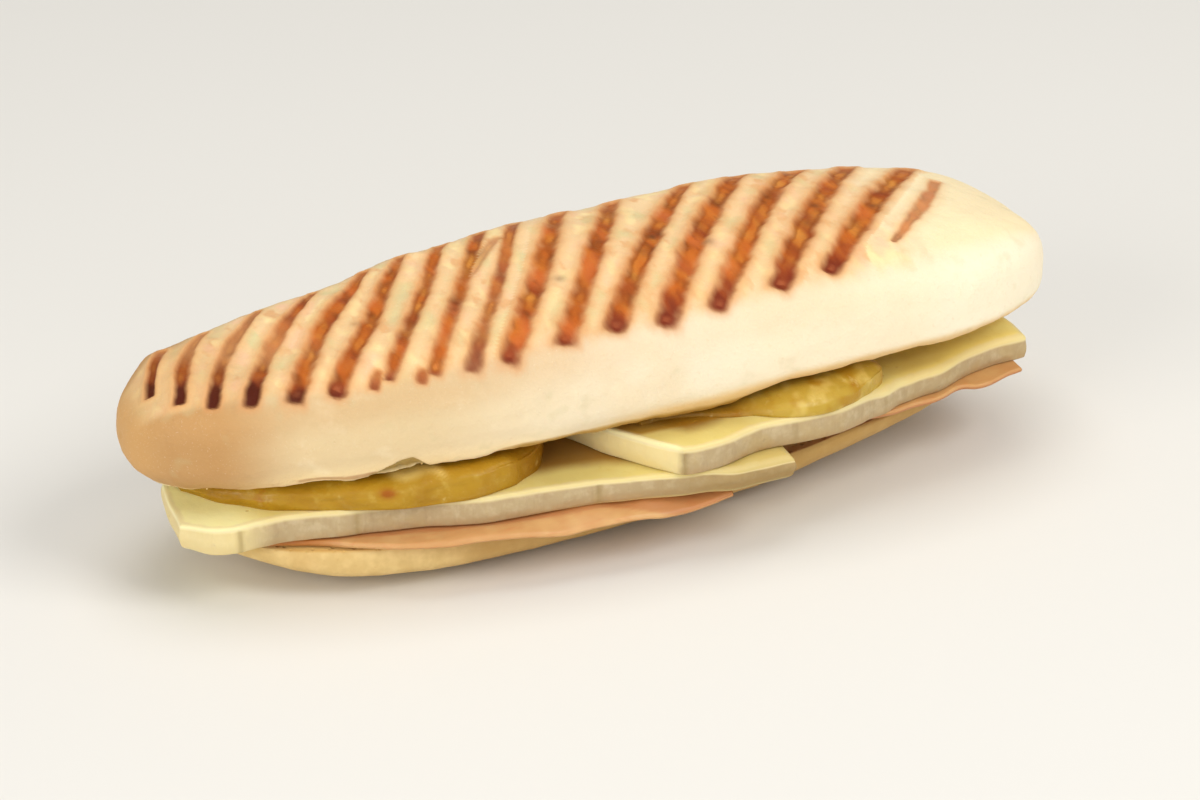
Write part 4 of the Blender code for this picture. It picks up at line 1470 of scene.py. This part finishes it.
def cheese_lower_item():
    sides = [LOWER_NEAR, [(37.5, -49.2), (40, 0), (40, 36)],
             [(40, 36), (0, 38.5), (-50, 37.5), (-94, 28)],
             [(-94, 28), (-105, 18), (-111.5, 6), (-113.8, -4.6), (-115.6, -20.3)]]
    edges = (worn_edge(lambda x: ease(8.0, 30.0, x), 1.1, 2.6),
             worn_edge(lambda x: np.maximum(ease(-48.0, 0.0, x), 0.8 * ease(-108.0, -114.5, x)),
                       2.3, 3.0))
    item = cheese_item("cheese_slice_lower", sides, cheese_lower_bottom, cheese_lower_top, 41,
                       ((-102.0, 1.0), (-73.0, 0.8), (-13.0, 0.9)), edges)
    x = places_of(item)[0]
    # whiter: painted light at the slice's left end.
    add_values(item, {"deep": 0.0 * x, "whiter": 0.8 * ease(-92.0, -103.0, x),
                      "drier": ease(-14.0, 26.0, x)})
    return item


def cheese_upper_item():
    sides = [UPPER_NEAR, [(120.5, -20), (121, -5), (117, 14)],
             [(117, 14), (98, 29), (60, 37), (20, 38.5), (-8, 37)],
             [(-8, 37), (-17, 10), (-15, -10), (-9.5, -21.5), (-4, -33), (7.0, -47.6)]]
    edges = (worn_edge(lambda x: ease(60.0, 70.0, x), 1.1, 2.6), edge_rule(0.6, 0.8))
    item = cheese_item("cheese_slice_upper", sides, cheese_upper_bottom, cheese_upper_top, 45,
                       ((7.6, 1.0), (40.0, 0.5), (70.0, 0.5)), edges)
    x, y, _ = places_of(item)
    depth = value_of(item, "inside")
    behind = y - near_rim(x)[0]
    # deep: painted shade on the paste from the top bread's near rim inwards, and a fainter band
    # further under it on the right.
    deep = ease(-2.4, -0.4, behind) * ease(60.0, 36.0, x) * ease(0.2, 2.2, depth)
    add_values(item, {
        "deep": deep + 0.4 * ease(6.5, 11.0, behind) * ease(66.0, 76.0, x),
        "whiter": ease(7.6, 5.8, x) * (depth < 1.0) * ease(-8.0, -16.0, y),
        "drier": 0.2 * hump(72.0, 84.0, 92.0, 102.0, x)})
    return item


def under_roll(x, y, inside):
    """An egg slab's top: up to the roll, thinner and lumpy round the edge."""
    edge = 1.0 - ease(0.0, 12.0, inside)
    lump = 0.5 + 0.5 * np.sin(0.27 * x + 0.2 * y) * np.sin(0.11 * x + 1.3)
    raised = 0.92 * RIM_LIFT * gape(x) * ease(-15.0, -33.0, y)
    return cut_height(x) - 0.8 - edge * (0.2 + 1.0 * lump) + raised


def egg_left_item():
    near = [(-110, -4), (-101, -16), (-88, -24.5), (-75, -30), (-58, -34.7), (-43, -36.3),
            (-32, -34.8)]
    sides = [near, [(-32, -34.8), (-24, -28.5), (-20.5, -18), (-24, 0), (-27, 28)],
             [(-27, 28), (-60, 33), (-92, 26)], [(-92, 26), (-107, 12), (-110, -4)]]
    item = slab("egg_slab_left", sides, lambda x, y, d: cheese_lower_top(x) - EGG_SINK,
                under_roll, (edge_rule(2.6, 4.5), edge_rule(0.3, 0.4)), (0.9, 9.0, 51),
                swelling(0.35, 0.6, 57))
    x, y, z = places_of(item)
    facing = ease(-24.0, -28.0, y)
    brown = np.exp(-((x + 66.0) / 1.7) ** 2 - ((z - 28.3) / 1.1) ** 2) * facing
    strand = np.interp(x, (-64.0, -61.0, -58.0, -55.5, -53.5, -51.0),
                       (31.4, 31.0, 31.4, 32.1, 32.2, 31.2))
    add_values(item, {
        "brown": np.clip(1.5 * brown, 0.0, 1.0),
        "strand": bell(strand, 0.65, z) * hump(-65.5, -62.5, -52.5, -50.0, x) * facing,
        # Painted shade high under the top bread and at the slab's right end.
        "tucked": np.maximum(0.8 * ease(30.8, 33.5, z), ease(-38.0, -27.0, x)),
        "fresh": 0.0 * x})
    return item


def egg_right_item():
    near = [(2, -28), (15, -30), (26, -35.0), (36, -41.0), (46, -43.3), (56, -42.0), (65, -37.2)]
    sides = [near, [(65, -37.2), (70, -32), (70.5, -22), (68, 0), (62, 26)],
             [(62, 26), (32, 33), (6, 30)], [(6, 30), (-4, 10), (-3, -12), (2, -32)]]

    def puffed(x, y, inside):
        """Thin under the middle of the roll, where two slices of cheese are under it."""
        return np.maximum(under_roll(x, y, inside), cheese_upper_top(x) + GAP + 1.5)

    item = slab("egg_slab_right", sides, lambda x, y, d: cheese_upper_top(x) - EGG_SINK, puffed,
                (lambda x: (1.3 + 1.9 * gape(x), 5.0 + 2.0 * gape(x)), edge_rule(0.2, 0.3)),
                (0.8, 8.0, 55), swelling(0.2))
    x = places_of(item)[0]
    add_values(item, {
        "brown": 0.0 * x, "strand": 0.0 * x, "fresh": np.ones(len(x)),
        # Painted shade deep inside and on the thin left end under the top bread.
        "tucked": np.maximum(ease(10.0, 15.0, value_of(item, "inside")), ease(38.0, 24.0, x))})
    return item


# ---------------------------------------------------------------- operators

class PaniniMakeTopBread(bpy.types.Operator):
    """Makes the top half of the roll and presses the grill marks into it"""

    bl_idname = "panini.make_top_bread"
    bl_label = "Top bread"

    def execute(self, context):
        look = context.scene.panini_roll
        lines = mark_lines_item("mark_lines", MARKS)
        prongs = mark_lines_item("prong_lines", PRONGS)
        item = top_bread_item()
        Shaping.run(grill_tree(), item, {
            "Mark lines": lines, "Prong lines": prongs, "Mark depth": look.mark_depth,
            "Ridge height": look.ridge_height, "Crust relief": look.crust_relief,
            "Crumb relief": look.crumb_relief, "Finish": crust_finish(look)})
        bpy.data.objects.remove(lines, do_unlink=True)
        bpy.data.objects.remove(prongs, do_unlink=True)
        settle(item, "top_bread")
        return {"FINISHED"}


class PaniniMakeBottomBread(bpy.types.Operator):
    """Makes the bottom half of the roll"""

    bl_idname = "panini.make_bottom_bread"
    bl_label = "Bottom bread"

    def execute(self, context):
        item = bottom_bread_item()
        cut = value_of(item, "cut")
        height = places_of(item)[2]
        add_values(item, {"relief": ease(0.1, 2.0, height) * (0.5 + 0.5 * (1.0 - cut)),
                          "wall": 0.0 * cut})
        roughen(relief_tree(), item, base_finish(context.scene.panini_roll), 2.0,
                (12.0 * MM, 0.5 * MM), (3.0 * MM, 0.28 * MM))
        settle(item, "bottom_bread")
        return {"FINISHED"}


class PaniniMakeHam(bpy.types.Operator):
    """Makes the two thin slices of ham"""

    bl_idname = "panini.make_ham"
    bl_label = "Ham"

    def execute(self, context):
        finish = ham_finish(context.scene.panini_filling)
        tree = relief_tree()
        for make, node in ((ham_left_item, "ham_left"), (ham_right_item, "ham_right")):
            item = make()
            depth = value_of(item, "inside")
            add_values(item, {"relief": ease(12.0, 2.0, depth), "wall": 0.0 * depth})
            roughen(tree, item, finish, 5.0, (7.0 * MM, 0.25 * MM), (2.2 * MM, 0.12 * MM))
            settle(item, node)
        return {"FINISHED"}


class PaniniMakeCheese(bpy.types.Operator):
    """Makes the two slices of soft cheese with their rind"""

    bl_idname = "panini.make_cheese"
    bl_label = "Cheese"

    def execute(self, context):
        look = context.scene.panini_filling
        finish = cheese_finish(look)
        tree = relief_tree()
        for make, node in ((cheese_lower_item, "cheese_lower"),
                           (cheese_upper_item, "cheese_upper")):
            item = make()
            down = value_of(item, "down")
            near_top = ease(0.9, 0.1, value_of(item, "inside"))
            wall = ease(0.0, 0.12, down) * np.maximum(near_top, down < 1.0)
            add_values(item, {"wall": wall, "relief": np.where(down >= 1.0, 0.2, 1.0)})
            roughen(tree, item, finish, 7.0, (9.0 * MM, 0.45 * MM), (2.4 * MM, 0.14 * MM),
                    (2.3 * MM, look.wrinkle_depth * 1.6))
            settle(item, node)
        return {"FINISHED"}


class PaniniMakeEgg(bpy.types.Operator):
    """Makes the two slabs of cooked egg"""

    bl_idname = "panini.make_egg"
    bl_label = "Egg"

    def execute(self, context):
        look = context.scene.panini_filling
        finish = egg_finish(look)
        tree = relief_tree()
        for make, node, lumpiness in ((egg_left_item, "egg_left", 1.4),
                                      (egg_right_item, "egg_right", 0.84)):
            item = make()
            down = value_of(item, "down")
            relief = (down < 1.0) * ease(24.0, 12.0, value_of(item, "inside"))
            add_values(item, {"relief": relief, "wall": 0.0 * down})
            roughen(tree, item, finish, 11.0, (7.5 * MM, look.egg_lumps * lumpiness),
                    (2.6 * MM, look.egg_lumps * 0.35))
            settle(item, node)
        return {"FINISHED"}


class PaniniMakeCrumbs(bpy.types.Operator):
    """Strings torn crumbs along the rims of the top bread"""

    bl_idname = "panini.make_crumbs"
    bl_label = "Crumbs"

    def execute(self, context):
        look = context.scene.panini_crumbs
        x = np.linspace(-112.0, 116.0, 400)
        rim_y, rim_z = near_rim(x)
        far_y = top_half_width(x) - rim_inset(x)
        inwards = 1.2
        lines = [np.column_stack([x * (1.0 - RIM_INSET / LEFT_HALF), bowed(x, y), z + 0.5])
                 for y, z in ((rim_y + inwards, rim_z), (far_y - inwards, cut_height(x)))]
        item = path_item("torn_crumbs", lines, {})
        Shaping.run(crumb_tree(), item, {
            "Crumbs": look.count, "Smallest": look.smallest, "Largest": look.largest,
            "Spread": 0.9 * MM, "Seed": look.seed,
            "Finish": crumb_finish(context.scene.panini_roll)})
        item.data.shade_smooth()
        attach(item, "root")
        return {"FINISHED"}


class PaniniMakeStage(bpy.types.Operator):
    """Makes the pale floor, the soft studio light and the camera"""

    bl_idname = "panini.make_stage"
    bl_label = "Stage"

    def execute(self, context):
        make_floor()
        make_lights()
        make_camera()
        return {"FINISHED"}


# ---------------------------------------------------------------- stage, all of it in metres

def make_floor():
    mesh = bpy.data.meshes.new("floor")
    reach = 6.0
    mesh.from_pydata([(-reach, -reach, 0), (reach, -reach, 0), (reach, reach, 0),
                      (-reach, reach, 0)], [], [(0, 1, 2, 3)])
    f = Finish("pale_floor", {"Roughness": 0.75})
    f.feed(colour=f.coats(srgb(228, 226, 221), (srgb(224, 222, 217), f.noise(f.place, 400.0))))
    mesh.materials.append(f.material)
    linked("floor", mesh)


def make_lights():
    """Square lamps, each with its place, side, power and colour, aimed at the roll's middle."""
    target = Vector((0.0, 0.0, 0.03))
    lamps = (
        ("key", (0.7, -0.85, 1.15), 0.8, 12.0, (1.0, 0.985, 0.96)),
        ("front", (-0.2, -1.3, 0.5), 0.9, 2.4, (1.0, 0.99, 0.97)),
        ("left", (-1.2, -0.55, 0.55), 0.8, 8.5, (1.0, 0.99, 0.97)),
        ("top", (0.0, 0.2, 1.5), 0.9, 8.2, (1.0, 0.99, 0.97)),
    )
    for name, place, side, power, colour in lamps:
        light = bpy.data.lights.new(name, "AREA")
        light.shape = "SQUARE"
        light.size = side
        light.energy = power
        light.color = colour
        lamp = linked(name, light)
        lamp.location = place
        lamp.rotation_euler = (target - lamp.location).to_track_quat("-Z", "Y").to_euler()
    world = bpy.data.worlds.new("studio")
    bpy.context.scene.world = world
    world.use_nodes = True
    sky = world.node_tree.nodes["Background"]
    sky.inputs["Color"].default_value = (*srgb(250, 248, 244), 1.0)
    sky.inputs["Strength"].default_value = 0.4
    bpy.context.scene.view_settings.view_transform = "Standard"


def make_camera():
    """Where the photograph was taken from."""
    turn = math.radians(23.16)
    lift = math.radians(27.03)
    away = 0.9
    target = Vector((-0.002, 0.0046, 0.035))
    photo_width = 1200.0
    right_of_middle, above_middle = 18.4, -35.0
    data = bpy.data.cameras.new("camera")
    data.sensor_width = 36.0
    data.lens = 104.22
    data.shift_x = right_of_middle / photo_width
    data.shift_y = above_middle / photo_width
    data.clip_start = 0.05
    camera = linked("camera", data)
    back = Vector((-math.sin(turn) * math.cos(lift), -math.cos(turn) * math.cos(lift),
                   math.sin(lift)))
    camera.location = target + back * away
    camera.rotation_euler = (0.5 * math.pi - lift, 0.0, -turn)
    bpy.context.scene.camera = camera


# ---------------------------------------------------------------- panel and registration

class PaniniPanel(bpy.types.Panel):
    """Sizes, colours and a button for each piece"""

    bl_idname = "VIEW3D_PT_panini"
    bl_label = "Panini"
    bl_space_type = "VIEW_3D"
    bl_region_type = "UI"
    bl_category = "Panini"

    def draw(self, context):
        for group in (context.scene.panini_roll, context.scene.panini_filling,
                      context.scene.panini_crumbs):
            box = self.layout.box()
            for name in group.__annotations__:
                box.prop(group, name)
        for operator in OPERATORS:
            self.layout.operator(operator.bl_idname)


OPERATORS = (PaniniMakeTopBread, PaniniMakeBottomBread, PaniniMakeHam, PaniniMakeCheese,
             PaniniMakeEgg, PaniniMakeCrumbs, PaniniMakeStage)
GROUPS = {"panini_roll": PaniniRoll, "panini_filling": PaniniFilling,
          "panini_crumbs": PaniniCrumbs}
CLASSES = (*GROUPS.values(), *OPERATORS, PaniniPanel)


def register():
    for cls in CLASSES:
        bpy.utils.register_class(cls)
    for name, cls in GROUPS.items():
        setattr(bpy.types.Scene, name, PointerProperty(type=cls))


def unregister():
    for name in GROUPS:
        delattr(bpy.types.Scene, name)
    for cls in reversed(CLASSES):
        bpy.utils.unregister_class(cls)


def main():
    register()
    bpy.ops.panini.make_top_bread()
    bpy.ops.panini.make_bottom_bread()
    bpy.ops.panini.make_ham()
    bpy.ops.panini.make_cheese()
    bpy.ops.panini.make_egg()
    bpy.ops.panini.make_crumbs()
    bpy.ops.panini.make_stage()
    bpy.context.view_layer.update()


if __name__ == "__main__":
    main()
